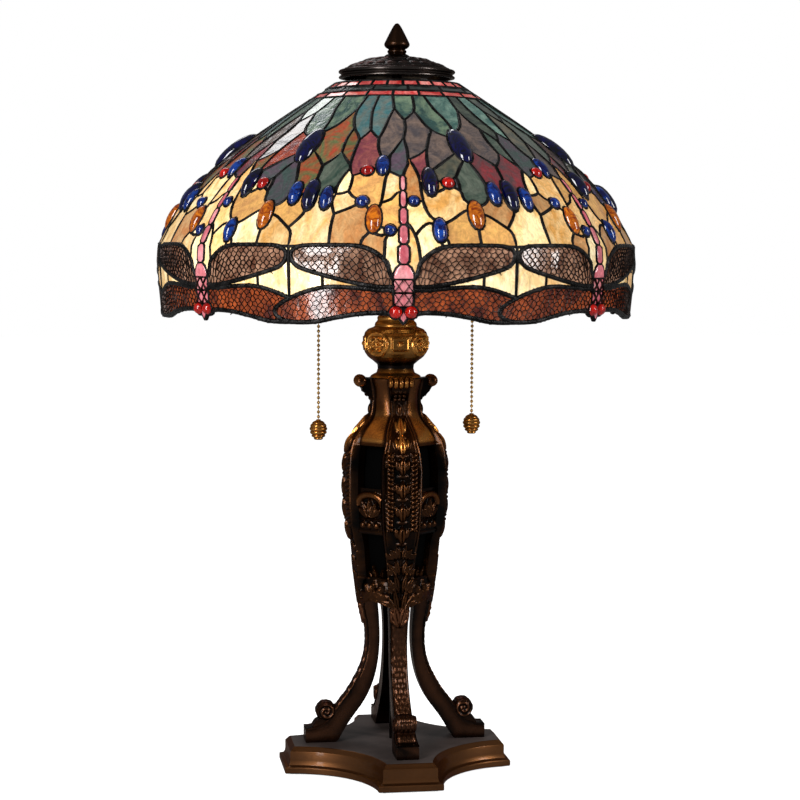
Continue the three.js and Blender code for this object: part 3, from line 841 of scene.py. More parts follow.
def dome(build, outline, height, rings=5):
    """A cabochon: the outline drawn in ring by ring to a rounded top, with a shallow back."""
    centre_x = sum(p[0] for p in outline) / len(outline)
    centre_v = sum(p[1] for p in outline) / len(outline)
    rows = []
    for k in range(rings):
        turn = QUARTER * k / rings
        grow = math.cos(turn)
        rows.append([(centre_x + (x - centre_x) * grow, centre_v + (v - centre_v) * grow,
                      height * math.sin(turn)) for x, v in outline])
    back = [(centre_x + (x - centre_x) * 0.97, centre_v + (v - centre_v) * 0.97, -GLASS_THICK)
            for x, v in outline]
    verts = [shade_point(x, v, out) for row in [back] + rows for x, v, out in row]
    top = len(verts)
    verts.append(shade_point(centre_x, centre_v, height))
    verts.append(shade_point(centre_x, centre_v, -GLASS_THICK - 0.8))
    count = len(outline)
    faces = loop_bridge([back] + rows)
    last = rings * count
    faces += [[last + i, last + (i + 1) % count, top] for i in range(count)]
    faces += [[(i + 1) % count, i, top + 1] for i in range(count)]
    build.add(verts, faces)


def bead(build, a, b, half, high):
    """One run of lead between two cartoon points: an oval bar that stands a little above both glass faces."""
    start, end = shade_point(*a, -LEAD_SINK), shade_point(*b, -LEAD_SINK)
    along = end - start
    if along.length < 0.05:
        return
    along.normalize()
    middle = ((a[0] + b[0]) / 2, (a[1] + b[1]) / 2)
    side = along.cross(shade_normal(*middle)).normalized()
    up = side.cross(along).normalized()
    rows = [[p + side * half * math.cos(t) + up * high * math.sin(t) for t in steps_round(LEAD_SIDES)]
            for p in (start - along * 0.3, end + along * 0.3)]
    build.add_rows(rows, capped=True)


def blob(build, x, v, half, high):
    """A solder joint: a low rounded lump where lead lines meet."""
    centre = shade_point(x, v, -LEAD_SINK)
    up = shade_normal(x, v)
    side = up.cross(Vector((0, 0, 1))).normalized()
    other = up.cross(side)
    rows = []
    for level in (-0.6, 0.0, 0.6):
        reach = math.sqrt(1 - level * level)
        rows.append([centre + (side * math.cos(t) + other * math.sin(t)) * half * reach + up * high * level
                     for t in steps_round(BLOB_SIDES)])
    verts = rows[0] + rows[1] + rows[2] + [centre + up * high, centre - up * high]
    faces = loop_bridge(rows)
    top_row, top, bottom = 2 * BLOB_SIDES, len(verts) - 2, len(verts) - 1
    faces += [[top_row + i, top_row + (i + 1) % BLOB_SIDES, top] for i in range(BLOB_SIDES)]
    faces += [[(i + 1) % BLOB_SIDES, i, bottom] for i in range(BLOB_SIDES)]
    build.add(verts, faces)


# Half the width and half the height of each kind of lead.
LEAD_HALF = {"line": 2.0, "jewel": 1.8, "body": 1.7, "wing": 2.5}
LEAD_HIGH = {"line": 2.3, "jewel": 2.6, "body": 2.6, "wing": 3.0}


def glass_kind(x, v, azimuth, rng):
    """Which glass a plain piece is cut from, by where it is."""
    if v > ROWS[1]:
        return "brick"
    if v > ROWS[2]:
        return "slate"
    if v > ROWS[3]:
        return "brick"
    reach = [(math.dist((math.radians(d) * RIM_R + s * WIDE, h), (x, v)), kind)
             for d, h, kind in CROWN_GLASS for s in (-1, 0, 1)]
    kind = min(reach)[1]
    redness = 0.5 - 0.55 * math.sin(azimuth + 0.15)
    if kind in (MUTED, WARM):
        lean = redness + (0.3 if kind == WARM else -0.3)
        return WARM if rng.random() < lean else MUTED
    # Cream is chosen more to the left and amber more to the right, making the right side darker. This is
    # partly the glass chosen and partly painted shade.
    if kind in (CREAM, AMBER):
        lean = redness + (0.3 if kind == CREAM else -0.15)
        return CREAM if rng.random() < lean else AMBER
    return kind


BULB_X, BULB_Z = 54, 580
BULB_LIGHT = {-1: 1.25, 1: 0.62}  # how brightly the left and right bulbs' painted glow shows through the shade


def glow_level(point, normal):
    """How brightly the two bulbs would light the glass from behind, about 1 near the skirt; this sets the
    strength of the painted glow.
    """
    total = 0.0
    for side, strength in BULB_LIGHT.items():
        ray = point - Vector((side * BULB_X, 0, BULB_Z))
        total += strength * max(0.1, ray.normalized().dot(normal)) / ray.length_squared
    return total * 20000


def wing_rows(outline, rng):
    """Seeds for the filigree of one wing: staggered rows that follow its upper edge."""
    row_pitch, cell_length = 3.7, 6.2
    low_x, high_x = min(p[0] for p in outline), max(p[0] for p in outline)
    closed = outline + outline[:1]
    seeds = []
    for column in range(int((high_x - low_x) / cell_length) + 1):
        x0 = low_x + (column + 0.3) * cell_length
        for row in range(14):
            x = x0 + (row % 2) * cell_length / 2
            crossings = [v1 + (v2 - v1) * (x - x1) / (x2 - x1)
                         for (x1, v1), (x2, v2) in zip(closed, closed[1:]) if (x1 > x) != (x2 > x)]
            if not crossings:
                continue
            top = max(crossings)
            v = top - 1.6 - row * row_pitch
            if v > min(crossings) - 1:
                seeds.append((x + rng.uniform(-1.3, 1.3), v + rng.uniform(-0.8, 0.8)))
    return seeds


def thin_bar(build, a, b, half, high):
    """A filigree wire: a low ridge standing on the glass."""
    start, end = shade_point(*a, 0), shade_point(*b, 0)
    along = end - start
    if along.length < 0.3:
        return
    up = shade_normal(*a)
    side = along.cross(up).normalized() * half
    verts = [start - side, start + side, start + up * high, end - side, end + side, end + up * high]
    build.add(verts, [[0, 3, 5, 2], [1, 2, 5, 4], [0, 1, 4, 3], [0, 2, 1], [3, 4, 5]])


def filigree_work(shapes):
    """The pierced metal net over the four wings of the middle panel, and the crossed wires over the neck."""
    net = Build()
    rng = random.Random(7)
    for wing in shapes:
        middle = (wing.box[0] + wing.box[1]) / 2
        if wing.kind != "wing" or not in_window(middle):
            continue
        seeds = wing_rows(wing.outline, rng)
        covers = [s for s in shapes if s.rank > wing.rank]
        for a, b in cell_edges(seeds, (-9, 9, wing.box[2] - 2, wing.box[3] + 2), 12):
            spot = ((a[0] + b[0]) / 2, (a[1] + b[1]) / 2)
            if wing.holds(*spot) and not any(s.holds(*spot) for s in covers):
                thin_bar(net, a, b, 0.45, 1.2)
    for low, high in ((-40, -29), (-52, -41)):
        for side in (-1, 1):
            thin_bar(net, (side * 8.5, low), (side * 0.6, high), 0.8, 3.2)
            thin_bar(net, (side * 8.5, high), (side * 0.6, low), 0.8, 3.2)
    return net


LEAST_AREA = 1.5  # a smaller piece is a sliver under the leads
SKIRT_EDGE = -72  # no glass reaches lower than this


class PanelWork:
    """The leaded work of one panel at the front, ready to be turned round into all seven places."""

    def __init__(self):
        cartoon = Cartoon()
        self.flat, self.triangles = cartoon.flat, cartoon.triangles
        self.lead, self.shapes = cartoon.lead, cartoon.shapes
        self.sheets = [made for members in cartoon.groups if (made := self.glass_sheet(members))]
        self.domes = [self.cabochon(shape) for shape in self.shapes
                      if shape.kind in ("jewel", "body") and in_window((shape.box[0] + shape.box[1]) / 2)]
        self.plain, self.heavy = self.lead_work()
        self.net = filigree_work(self.shapes)

    def glass_sheet(self, members):
        """One glass piece with its place and what it belongs to, or None where there is no glass."""
        corners = sorted({i for t in members for i in self.triangles[t]})
        spot = np.zeros(2)
        area = 0.0
        for t in members:
            a, b, c = (np.array(self.flat[i]) for i in self.triangles[t])
            part = abs((b - a)[0] * (c - a)[1] - (b - a)[1] * (c - a)[0]) / 2
            area += part
            spot += (a + b + c) / 3 * part
        if area < LEAST_AREA:
            return None
        spot /= area
        heights = [self.flat[i][1] for i in corners]
        if min(heights) < SKIRT_EDGE or max(heights) > CROWN_TOP + 0.5 or not in_window(spot[0]):
            return None
        first = np.mean([self.flat[i] for i in self.triangles[members[0]]], axis=0)
        owner = max((s for s in self.shapes if s.holds(*first)), key=lambda s: s.rank, default=None)
        if owner and owner.kind in ("jewel", "body"):
            return None
        places = {corner: i for i, corner in enumerate(corners)}
        points = [self.flat[i] for i in corners]
        faces = [[places[i] for i in self.triangles[t]] for t in members]
        made = Build()
        curved = owner or min(heights) < -1
        sheet(made, points, faces, 0 if curved else FLATNESS, 0 if owner else 0.4)
        group = "wing" if owner else "skirt" if spot[1] < 0 else "crown"
        return group, owner.glass if owner else None, spot, made

    def cabochon(self, shape):
        """One domed glass piece, like a glass sheet's."""
        made = Build()
        dome(made, shape.outline, shape.dome)
        middle = ((shape.box[0] + shape.box[1]) / 2, (shape.box[2] + shape.box[3]) / 2)
        group = "jewel" if shape.kind == "jewel" or shape.glass == RUBY else "body"
        return group, shape.glass, middle, made

    def lead_work(self):
        """The lead lines: plain lines in one build, the heavier wing borders in another."""
        plain, heavy = Build(), Build()
        joints = {}
        for (i, j), kind in self.lead.items():
            a, b = self.flat[i], self.flat[j]
            if kind is None or not in_window((a[0] + b[0]) / 2) or min(a[1], b[1]) < -80:
                continue
            target = heavy if kind == "wing" else plain
            spans = max(1, round(math.dist(a, b) / 12))
            for k in range(spans):
                t0, t1 = k / spans, (k + 1) / spans
                p = (a[0] + (b[0] - a[0]) * t0, a[1] + (b[1] - a[1]) * t0)
                q = (a[0] + (b[0] - a[0]) * t1, a[1] + (b[1] - a[1]) * t1)
                bead(target, p, q, LEAD_HALF[kind], LEAD_HIGH[kind])
            for end in (i, j):
                if joints.get(end, "") != "wing":
                    joints[end] = kind
        for end, kind in joints.items():
            target = heavy if kind == "wing" else plain
            swell = 1.0 + 0.25 * noise.noise(Vector((self.flat[end][0] * 0.3, self.flat[end][1] * 0.3, 0)))
            blob(target, *self.flat[end], LEAD_HALF[kind] * 1.1 * swell, LEAD_HIGH[kind] * 1.06)
        return plain, heavy


def build_shade():
    """The leaded shade: one panel's work turned into all seven places, each with its own glass."""
    work = PanelWork()
    for number in range(REPEATS):
        angle = number * STEP
        rng = random.Random(100 + number)
        made = {group: Build() for group in ("crown", "skirt", "wing", "jewel", "body")}
        for group, glass, (x, v), part in work.sheets + work.domes:
            turn = number * WIDE
            level = glow_level(shade_point(x + turn, v), shade_normal(x + turn, v))
            kind = CREAM if group == "skirt" else glass or glass_kind(x, v, angle + x / RIM_R, rng)
            made[group].add_turned(part, angle, glass_mark(kind, rng, level))
        tag = number + 1
        panel_node = f"dragonfly_panel_{tag}"
        piece(f"crown_glass_{tag}", made["crown"], "shade", GLASS, replaces=["shade_crown"])
        piece(f"skirt_glass_{tag}", made["skirt"], "shade", GLASS)
        piece(f"wing_glass_{tag}", made["wing"], "shade", GLASS, replaces=[panel_node])
        piece(f"cabochons_{tag}", made["jewel"], "shade", JEWEL, crease=60)
        piece(f"dragonfly_body_{tag}", made["body"], "shade", GLASS, crease=60)
        for name, part, metal, crease in (("lead_lines", work.plain, LEAD, 60),
                                          ("wing_borders", work.heavy, WING_LEAD, 60),
                                          ("wing_filigree", work.net, FILIGREE, 30)):
            turned = Build()
            turned.add_turned(part, angle)
            piece(f"{name}_{tag}", turned, "shade", metal, crease)


# ---- turned and carved metal ----
ANTIQUE = bronze_material("antique_bronze", screen(7, 5, 4), screen(92, 57, 32), 0.16,
                          gold=screen(228, 154, 76))
GOLDEN = bronze_material("golden_bronze", screen(16, 8, 4), screen(240, 164, 80), 0.2, 0.15, mottled=0.4)
LEG_BRONZE = bronze_material("leg_bronze", screen(8, 6, 5), screen(100, 64, 44), 0.2)
PLATE_SIDE = bronze_material("plate_side", screen(46, 30, 21), screen(124, 82, 50), 0.32, 0.15, 14)
# The plate's top is a grey non-metal, unlike its bronze sides. The grey stands in for the top's sheen as a
# painted sheen.
PLATE_TOP = plain_material("plate_top", screen(46, 39, 37), screen(76, 67, 64), 0.6, 18, 0.1, 0.2)
CAP_METAL = bronze_material("cap_metal", screen(8, 7, 7), screen(92, 84, 80), 0.16)
FINIAL_METAL = bronze_material("finial_metal", screen(16, 11, 8), screen(66, 44, 30), 0.22)
BRASS = bronze_material("lamp_brass", screen(150, 108, 52), screen(200, 160, 94), 0.25, 0.1)
STEEL = bronze_material("zinc_steel", screen(110, 110, 112), screen(170, 170, 170), 0.3, 0.1)
DARK_RING = bronze_material("ring_metal", screen(20, 16, 14), screen(60, 48, 38), 0.35)


def eased(table, z):
    """A smooth value at height z from a table of (height, value) pairs in rising height."""
    heights, values = zip(*table)
    span = 3.0
    return sum(np.interp(z + shift, heights, values) for shift in (-span, -span / 3, span / 3, span)) / 4


def lathe(build, profile, segments=48, centre=(0, 0), wear_and_light=FINISHED):
    """A profile of (radius, height) pairs turned about an upright line through the centre."""
    rows = []
    for radius, z in profile:
        r = max(radius, 0.01)
        rows.append([(centre[0] + r * math.cos(t), centre[1] + r * math.sin(t), z)
                     for t in steps_round(segments)])
    build.add_rows(rows, wear_and_light=wear_and_light)


def grid(build, points, closed=False, wear_and_light=FINISHED):
    """Quads over a grid of points, an array of rows by columns by 3, with each point's share of wear and
    painted light.
    """
    rows, columns, _ = points.shape
    wear_and_highlight = np.broadcast_to(wear_and_light, (rows, columns)).reshape(-1)
    faces = loop_bridge([[0] * columns] * rows, closed)
    build.add([tuple(p) for p in points.reshape(-1, 3)], faces, None, wear_and_highlight)


def ball(build, centre, radii, sides=8, rings=5, wear_and_light=0.7):
    """An ellipsoid, its radii along x, y and z."""
    rows = []
    for k in range(rings):
        lift = math.pi * ((k + 0.5) / rings - 0.5)
        rows.append([(centre[0] + radii[0] * math.cos(lift) * math.cos(t),
                      centre[1] + radii[1] * math.cos(lift) * math.sin(t),
                      centre[2] + radii[2] * math.sin(lift))
                     for t in steps_round(sides)])
    verts = [p for row in rows for p in row]
    verts += [(centre[0], centre[1], centre[2] - radii[2]), (centre[0], centre[1], centre[2] + radii[2])]
    faces = loop_bridge(rows)
    last = (rings - 1) * sides
    faces += [[(i + 1) % sides, i, rings * sides] for i in range(sides)]
    faces += [[last + i, last + (i + 1) % sides, rings * sides + 1] for i in range(sides)]
    build.add(verts, faces, None, wear_and_light)


def dome_height(a, b, half_a, half_b):
    """A rounded lump over an oval: 1 in the middle and 0 outside."""
    return np.sqrt(np.clip(1 - (a / half_a) ** 2 - (b / half_b) ** 2, 0, 1))


def leaf_height(a, b, half_a, half_b):
    """A pointed leaf with a groove down its middle: about 1 high, and 0 outside."""
    along = np.clip(np.abs(b / half_b), 0, 1)
    width = half_a * (1 - along ** 1.8) + 0.01
    across = np.clip(np.abs(a) / width, 0, 1)
    body = np.sqrt(1 - across ** 2) * (along < 1)
    return body * (1 - 0.4 * np.exp(-(across / 0.16) ** 2))


def ridge_height(distance, half):
    """A soft ridge: 1 at no distance, fading within about half."""
    return np.exp(-(distance / half) ** 2)


# ---- urn ----
# By height: how far out a rib stands, half its width, how deep the panels sit and how far they bulge.
RIB_OUT = [(168, 34), (181, 36.5), (200, 39.5), (222, 41), (233, 43.5), (245, 46), (265, 48), (300, 48),
           (317, 46.5), (328, 43.2), (337, 37), (345, 29.5), (353, 25), (366, 23.6), (378, 24.2), (388, 26.5)]
RIB_HALF = [(168, 11), (195, 13), (214, 15), (232, 17.6), (250, 19.2), (270, 20), (300, 20.4), (312, 19.4),
            (322, 17), (337, 14), (346, 10.5), (353, 8.5), (368, 8.6), (380, 10), (388, 11)]
WALL_IN = [(168, 1), (184, 2), (192, 8), (322, 8), (326, 5), (345, 3.5), (375, 2), (388, 0.6)]
PANEL_BULGE = [(168, 2.5), (322, 1), (345, 1.6), (388, 3.4)]
BUDS = [342, 324, 304, 281, 258.5, 236.5]  # heights of the buds down a rib
WINDOW = (192, 322)
WINDOW_DEEP = 8.0
URN_LIFT = 1.8  # the urn is drawn this much too low


def tilted(a, b, angle):
    """The coordinates a and b in axes turned by an angle."""
    return a * math.cos(angle) - b * math.sin(angle), a * math.sin(angle) + b * math.cos(angle)


def fan(a, b, length, half, leans, spread):
    """Pointed leaves springing from one foot. Those that lean more are shorter and lower."""
    height = np.zeros_like(a)
    for lean in leans:
        across, along = tilted(a - spread * lean, b, lean)
        reach = length * (1 - 0.22 * abs(lean))
        leaf = leaf_height(across, along - reach / 2, half, reach / 2)
        height = np.maximum(height, (1 - 0.15 * abs(lean)) * leaf)
    return height


def bud_relief(t, z):
    """The chain of buds down a rib, each with two lobes and a collar."""
    side = np.abs(t)
    height = np.zeros_like(t)
    for middle in BUDS:
        small = 0.75 if middle > 330 else 1.0
        swell = 0.35 + 0.65 * dome_height(0, z - middle, 1, 10.8)
        bud = 5.2 * leaf_height(t, z - middle, 4.6 * small, 10.5) * swell
        lobes = 3.2 * dome_height(side - 5.2 * small, z - middle - 1.5 - 0.5 * (side - 5.2), 2.9 * small, 5.4)
        collar = 1.9 * dome_height(t, z - middle + 9.4, 5.6 * small, 2.2)
        height = np.maximum.reduce([height, bud, lobes, collar])
    return height


def rib_relief(t, u, z):
    """Carving on a rib: t is across it in millimetres, u the same as a share of its half, z the height."""
    side = np.abs(t)
    half = side / np.maximum(np.abs(u), 0.02)
    edge = (1 - np.abs(u)) * half
    inner_border = 1.1 * ridge_height(edge - 3.4, 0.7) * (z > 225) * (z < 350)
    borders = 1.5 * ridge_height(edge - 0.9, 0.8) + inner_border
    ribs = np.abs(np.cos(math.pi * (z - 0.4 * (side - 12.5)) / 4.5))
    column = 3.4 * dome_height(side - 12, 0, 4.0, 1) * (0.2 + 0.8 * ribs ** 0.7) * (z > 240) * (z < 318)
    height = np.maximum.reduce([borders, bud_relief(t, z), column])
    for row, level in enumerate((377, 372.6, 368.2)):
        for place in range(-1, 3):
            x = place * 4.3 - (2.1 if row % 2 else 0)
            height = np.maximum(height, 2.4 * dome_height(t - x, z - level, 2.3, 2.4) * (np.abs(x) < 6))
    height = np.maximum(height, 2.2 * dome_height(t, z - 358, 2.6, 5))
    return np.maximum(height, acanthus(t, z))


def acanthus(t, z):
    """Layered leaves on the lower part of the urn."""
    height = np.zeros_like(t)
    for foot, length, lift in ((164, 22, 3.6), (180, 20, 3.2), (196, 18, 2.9), (212, 15, 2.4)):
        leaves = lift * fan(t, z - foot, length, 3.1, (-1.1, -0.62, -0.25, 0.25, 0.62, 1.1), 6)
        height = np.maximum(height * 0.96, leaves)
    return height


def panel_relief(s, z):
    """Carving on the panels between the ribs: s is the share across, -1 to 1."""
    leaves = 3.6 * fan(s * 13, z - 168, 22, 3.0, (-1.25, -0.8, -0.4, 0, 0.4, 0.8, 1.25), 3)
    leaves = leaves * (z < WINDOW[0] - 0.5)
    sill = 1.8 * ridge_height(z - (WINDOW[0] - 1.4), 0.9) * (np.abs(s) > 0.5)
    return np.maximum(leaves, sill) + 1.3 * ridge_height(z - (WINDOW[1] + 1.6), 1.0)


RIB_COLUMNS = 49
PANEL_COLUMNS = 19
URN_HEIGHTS = np.concatenate([np.linspace(168.3, 192, 30), np.linspace(192, 322, 165)[1:],
                              np.linspace(322, 388, 60)[1:]])


def urn_quarter():
    """The urn's outer surface over one rib and the panel beside it, with its share of wear and painted light
    at each point.
    """
    z = URN_HEIGHTS[:, None]
    out, half, depth, bulge = (eased(table, z) for table in (RIB_OUT, RIB_HALF, WALL_IN, PANEL_BULGE))
    depth = np.where((z >= WINDOW[0]) & (z <= WINDOW[1]), WINDOW_DEEP, depth)
    u = np.linspace(-1, 1, RIB_COLUMNS)[None, :]
    t = u * half
    high = z * np.ones_like(t)
    carving = rib_relief(t, u * np.ones_like(z), high)
    rib = np.stack([out + 2.4 * (1 - u ** 2) + carving - 1.2, t, high], -1)
    p = np.linspace(0, 1, PANEL_COLUMNS)[None, :]
    s = p * 2 - 1
    inner = out - depth
    start, end = np.stack([inner, half], -1), np.stack([half, inner], -1)
    flat = start + (end - start) * p[..., None]
    relief = panel_relief(s, z * np.ones_like(s))
    push = (bulge * (1 - s ** 2) + relief) / math.sqrt(2)
    panel = np.concatenate([flat + push[..., None], (z * np.ones_like(s))[..., None]], -1)
    points = np.concatenate([rib, panel], 1)
    foot = np.clip((WINDOW[0] - z) / 24, 0, 1)
    points[:, :RIB_COLUMNS, 2] -= 5 * foot
    points[:, RIB_COLUMNS:, 2] -= 5 * foot * s ** 2
    # The panels above the windows are gilt. They are painted brighter round 333 mm and darker towards their
    # edges and top: a painted highlight and painted shade.
    bell = np.clip((z - WINDOW[1]) / 6, 0, 1) * np.clip((1 - np.abs(s)) * 4, 0, 1)
    bell = bell * (0.85 + 0.85 * np.exp(-((z - 333) / 20) ** 2))
    # A painted highlight brightens the ribs round 338 mm, across the urn's shoulder.
    shoulder = np.exp(-((z - 338) / 16) ** 2)
    rib_wear_and_light = 0.05 + 0.5 * shoulder + carving * (0.15 + 0.34 * shoulder)
    return points, np.concatenate([rib_wear_and_light, 0.05 + relief * 0.15 + bell], 1)


def build_urn():
    """The urn casting: four carved quarters with a window in each, and the carving over the windows."""
    build = Build()
    quarter, quarter_wear_and_light = urn_quarter()
    turns = [np.array(Matrix.Rotation(QUARTER * n, 3, "Z")) for n in range(4)]
    points = np.concatenate([quarter @ turn.T for turn in turns], 1)
    rows, columns, _ = points.shape
    per_side = columns // 4
    low = int(np.argmin(np.abs(URN_HEIGHTS - WINDOW[0])))
    high = int(np.argmin(np.abs(URN_HEIGHTS - WINDOW[1])))
    faces = []
    for r in range(rows - 1):
        for c in range(columns):
            if low <= r < high and RIB_COLUMNS <= c % per_side < per_side - 1:
                continue
            d = (c + 1) % columns
            faces.append([r * columns + c, r * columns + d, (r + 1) * columns + d, (r + 1) * columns + c])
    wear_and_light = np.tile(quarter_wear_and_light, (1, 4)).reshape(-1)
    build.add([tuple(p) for p in points.reshape(-1, 3)], faces, None, wear_and_light)
    for n in range(4):
        first, last = n * per_side + RIB_COLUMNS, (n + 1) * per_side - 1
        reveal = [points[r, first] for r in range(low, high + 1)]
        reveal += [points[high, c] for c in range(first + 1, last + 1)]
        reveal += [points[r, last] for r in range(high - 1, low - 1, -1)]
        reveal += [points[low, c] for c in range(last - 1, first, -1)]
        inner = [p * np.array([0.84, 0.84, 1]) for p in reveal]
        build.add([tuple(p) for p in inner + reveal], loop_bridge([reveal, inner]), None, 0.12)
        medallion(build, turns[n])
        sill_leaves(build, turns[n])
        build_ear(build, n * QUARTER)
    lathe(build, [(34, 168.3), (30, 168.2), (6, 168.2)], 64, wear_and_light=0.1)
    lathe(build, [(26.5, 388), (24, 388.2), (6, 388.2)], 64)
    build.verts = [(x, y, z + URN_LIFT) for x, y, z in build.verts]
    piece("urn_casting", build, "stand", ANTIQUE, crease=55, replaces=["urn_cage"])


LINING = [(8, 186), (23, 186), (26, 191), (29.5, 212), (32, 232), (35.6, 262), (36, 300), (33, 320), (26, 330),
          (8, 330)]


def build_lining():
    """The black lining behind the windows."""
    black = plain_material("lining_black", screen(1, 1, 1), screen(4, 3, 3), 0.8, 60, 0.1, shine=0.03)
    build = Build()
    lathe(build, LINING, 56)
    piece("window_lining", build, "stand", black, crease=50, replaces=["urn_liner"])


def sill_leaves(build, turn):
    """Leaf tips that stand up over the sill of each window, against the lining."""
    s = np.linspace(-12.5, 12.5, 40)[None, :]
    z = np.linspace(184, 207, 32)[:, None]
    t, h = s * np.ones_like(z), z * np.ones_like(s)
    behind = np.sqrt((24.6 + (h - 191) * 0.167) ** 2 - t ** 2)
    height = 6.4 * fan(t, h - 182, 23, 3.3, (-1.0, -0.55, -0.15, 0.3, 0.75), 6)
    spin = np.array(Matrix.Rotation(QUARTER / 2, 3, "Z"))
    grid(build, np.stack([behind + height, t, h], -1) @ spin.T @ turn.T, wear_and_light=0.05 + height * 0.07)


def medallion(build, turn):
    """The carved plaque seen through each window: an arched hood, a grooved leaf and three bosses below."""
    s = np.linspace(-14.8, 14.8, 38)[None, :]
    z = np.linspace(236, 281, 50)[:, None]
    t, h = s * np.ones_like(z), z * np.ones_like(s)
    arch = np.hypot(t, (h - 263) * 1.4)
    hood = 3.6 * np.clip(1 - ((arch - 16.6) / 4.6) ** 2, 0, 1) ** 0.5 * (h > 263)
    height = np.maximum(hood, 3.4 * fan(t, h - 252, 20, 3.6, (-0.9, -0.45, 0, 0.45, 0.9), 2))
    for place in (-8.5, 0, 8.5):
        height = np.maximum(height, 3.4 * dome_height(t - place, h - 244.5, 3.7, 3.7))
    height += 1.2 * ridge_height(h - 250.5, 0.9) + 1.0 * ridge_height(h - 238.4, 0.9)
    points = np.stack([(45.5 + height) * np.ones_like(t) - 4.3 - t ** 2 * 0.004, t, h], -1)
    spin = np.array(Matrix.Rotation(QUARTER / 2, 3, "Z"))
    # Raised carving is brighter from wear, and the whole hood is painted brighter still as a painted
    # highlight.
    grid(build, points @ spin.T @ turn.T, wear_and_light=0.05 + height * 0.14 + 0.45 * (hood > 1))


EAR_MIDDLE = (35.5, 385.4)  # distance out and height of the curl's axis
EAR_LOBES = range(-2, 3)
EAR_WEB = [(23, 366), (26, 368.5), (30, 372), (34, 377), (37, 384), (36, 389), (31, 388.6), (23, 388)]


def build_ear(build, turn):
    """The curled, lobed leaf at the head of a rib, with rows of beads on the web under it."""
    made = Build()
    out, up = EAR_MIDDLE
    sides = 16
    lifts = [-QUARTER + math.pi * step / 8 for step in range(9)]
    for k in EAR_LOBES:
        reach = 6.4 * (1 - 0.04 * k * k)
        rows = [[(out + reach * math.cos(lift) * math.cos(a), k * 5.1 + 3.3 * math.sin(lift),
                  up + reach * math.cos(lift) * math.sin(a)) for a in steps_round(sides)] for lift in lifts]
        made.add_rows(rows, wear_and_light=[0.1 + 1.25 * math.cos(lift) for lift in lifts for _ in range(sides)])
    for x, z in ((35.7, 381), (32.7, 376.4), (29.3, 372.2)):
        for y in (-4.4, 0, 4.4):
            ball(made, (x, y, z), (1.4, 2.0, 2.3), wear_and_light=0.25)
    web = smooth_line(EAR_WEB, 2)
    across = [[(x, side * 8.5, z) for x, z in web] for side in (-1, -0.8, 0.8, 1)]
    made.add_rows(across, capped=True, wear_and_light=0.02)
    build.add_turned(made, turn)


# ---- neck ----
NECK_OUT = [(388.5, 25.5), (390.5, 24), (393, 19), (397, 17.8), (401, 18.2), (405, 22.8), (409, 28.3),
            (413, 31.2), (418, 32.2), (429, 32.2), (433, 31), (436, 28), (438, 22.4), (439, 21)]
NECK_LIFT = 2.2  # the knop is drawn this much too low
KNOP_R = 32
KNOP_MIDDLE = 422


def neck_relief(a, b):
    """Carving round the knop, repeated four times: a is along it and b up it, from a knot's middle."""
    away = np.hypot(a / 13, b / 12) * 12.5
    height = 1.9 * ridge_height(away - 12, 0.9) + 0.9 * ridge_height(away - 10.1, 0.7)
    for x, y in ((4, 2.6), (-4, 2.6), (4, -2.6), (-4, -2.6), (0, 0)):
        ring = np.hypot((a - x) / 1.15, b - y)
        height = np.maximum(height, 1.9 * ridge_height(ring - 4.2, 0.85) * (away < 10.5))
    side = 25.1 - np.abs(a)
    plaque = np.abs(side) < 9
    frame = 1.3 * ridge_height(np.maximum(np.abs(side) - 7.6, np.abs(b) - 6.2), 0.6)
    stud = 2.4 * dome_height(side, b, 2.6, 2.6)
    return np.maximum(height, np.maximum(frame, stud) * plaque)


RISER = [(6, 441.2), (20.8, 441.2), (21, 442.4), (20.4, 444.4), (18.8, 446), (18, 447.4), (18.4, 448.6),
         (18.4, 450), (17.2, 451.6), (15, 453), (13, 455), (10, 457.4), (9.5, 466), (6, 466)]


def build_neck():
    """The knop with its knots and plaques, and the stepped riser over it."""
    build = Build()
    z = np.linspace(NECK_OUT[0][0], NECK_OUT[-1][0], 84)[:, None]
    angle = np.linspace(0, TAU, 256, endpoint=False)[None, :]
    out = np.interp(z, *zip(*NECK_OUT)) * np.ones_like(angle)
    along = ((angle / QUARTER) % 1 - 0.5) * QUARTER * KNOP_R
    relief = neck_relief(along, (z - KNOP_MIDDLE) * np.ones_like(angle))
    band = np.clip((z - 407) / 3, 0, 1) * np.clip((437 - z) / 2, 0, 1)
    r = out + relief * band - 0.5 * band
    points = np.stack([r * np.cos(angle), r * np.sin(angle), z * np.ones_like(angle)], -1)
    # Painted shade darkens the narrow waist under the knop, and a painted highlight brightens a band round the
    # top of the knop.
    waist_shade = 0.6 * np.exp(-((z - 401) / 6.5) ** 2)
    wear_and_highlight = 0.3 * np.exp(-((z - 434) / 4) ** 2)
    grid(build, points, closed=True, wear_and_light=np.clip(0.5 + band * (relief * 0.34 - 0.2) - waist_shade + wear_and_highlight, 0, 1))
    lathe(build, [(25.5, 388.5), (6, 388.4)], 48)
    lathe(build, [(20, 439), (6, 439)], 48)
    build.verts = [(x, y, z + NECK_LIFT) for x, y, z in build.verts]
    piece("knop_casting", build, "stand", GOLDEN, crease=55, replaces=["neck_knop"])
    riser = Build()
    lathe(riser, RISER, 56, wear_and_light=0.6)
    piece("neck_riser", riser, "stand", GOLDEN, crease=35, replaces=["upper_neck"])


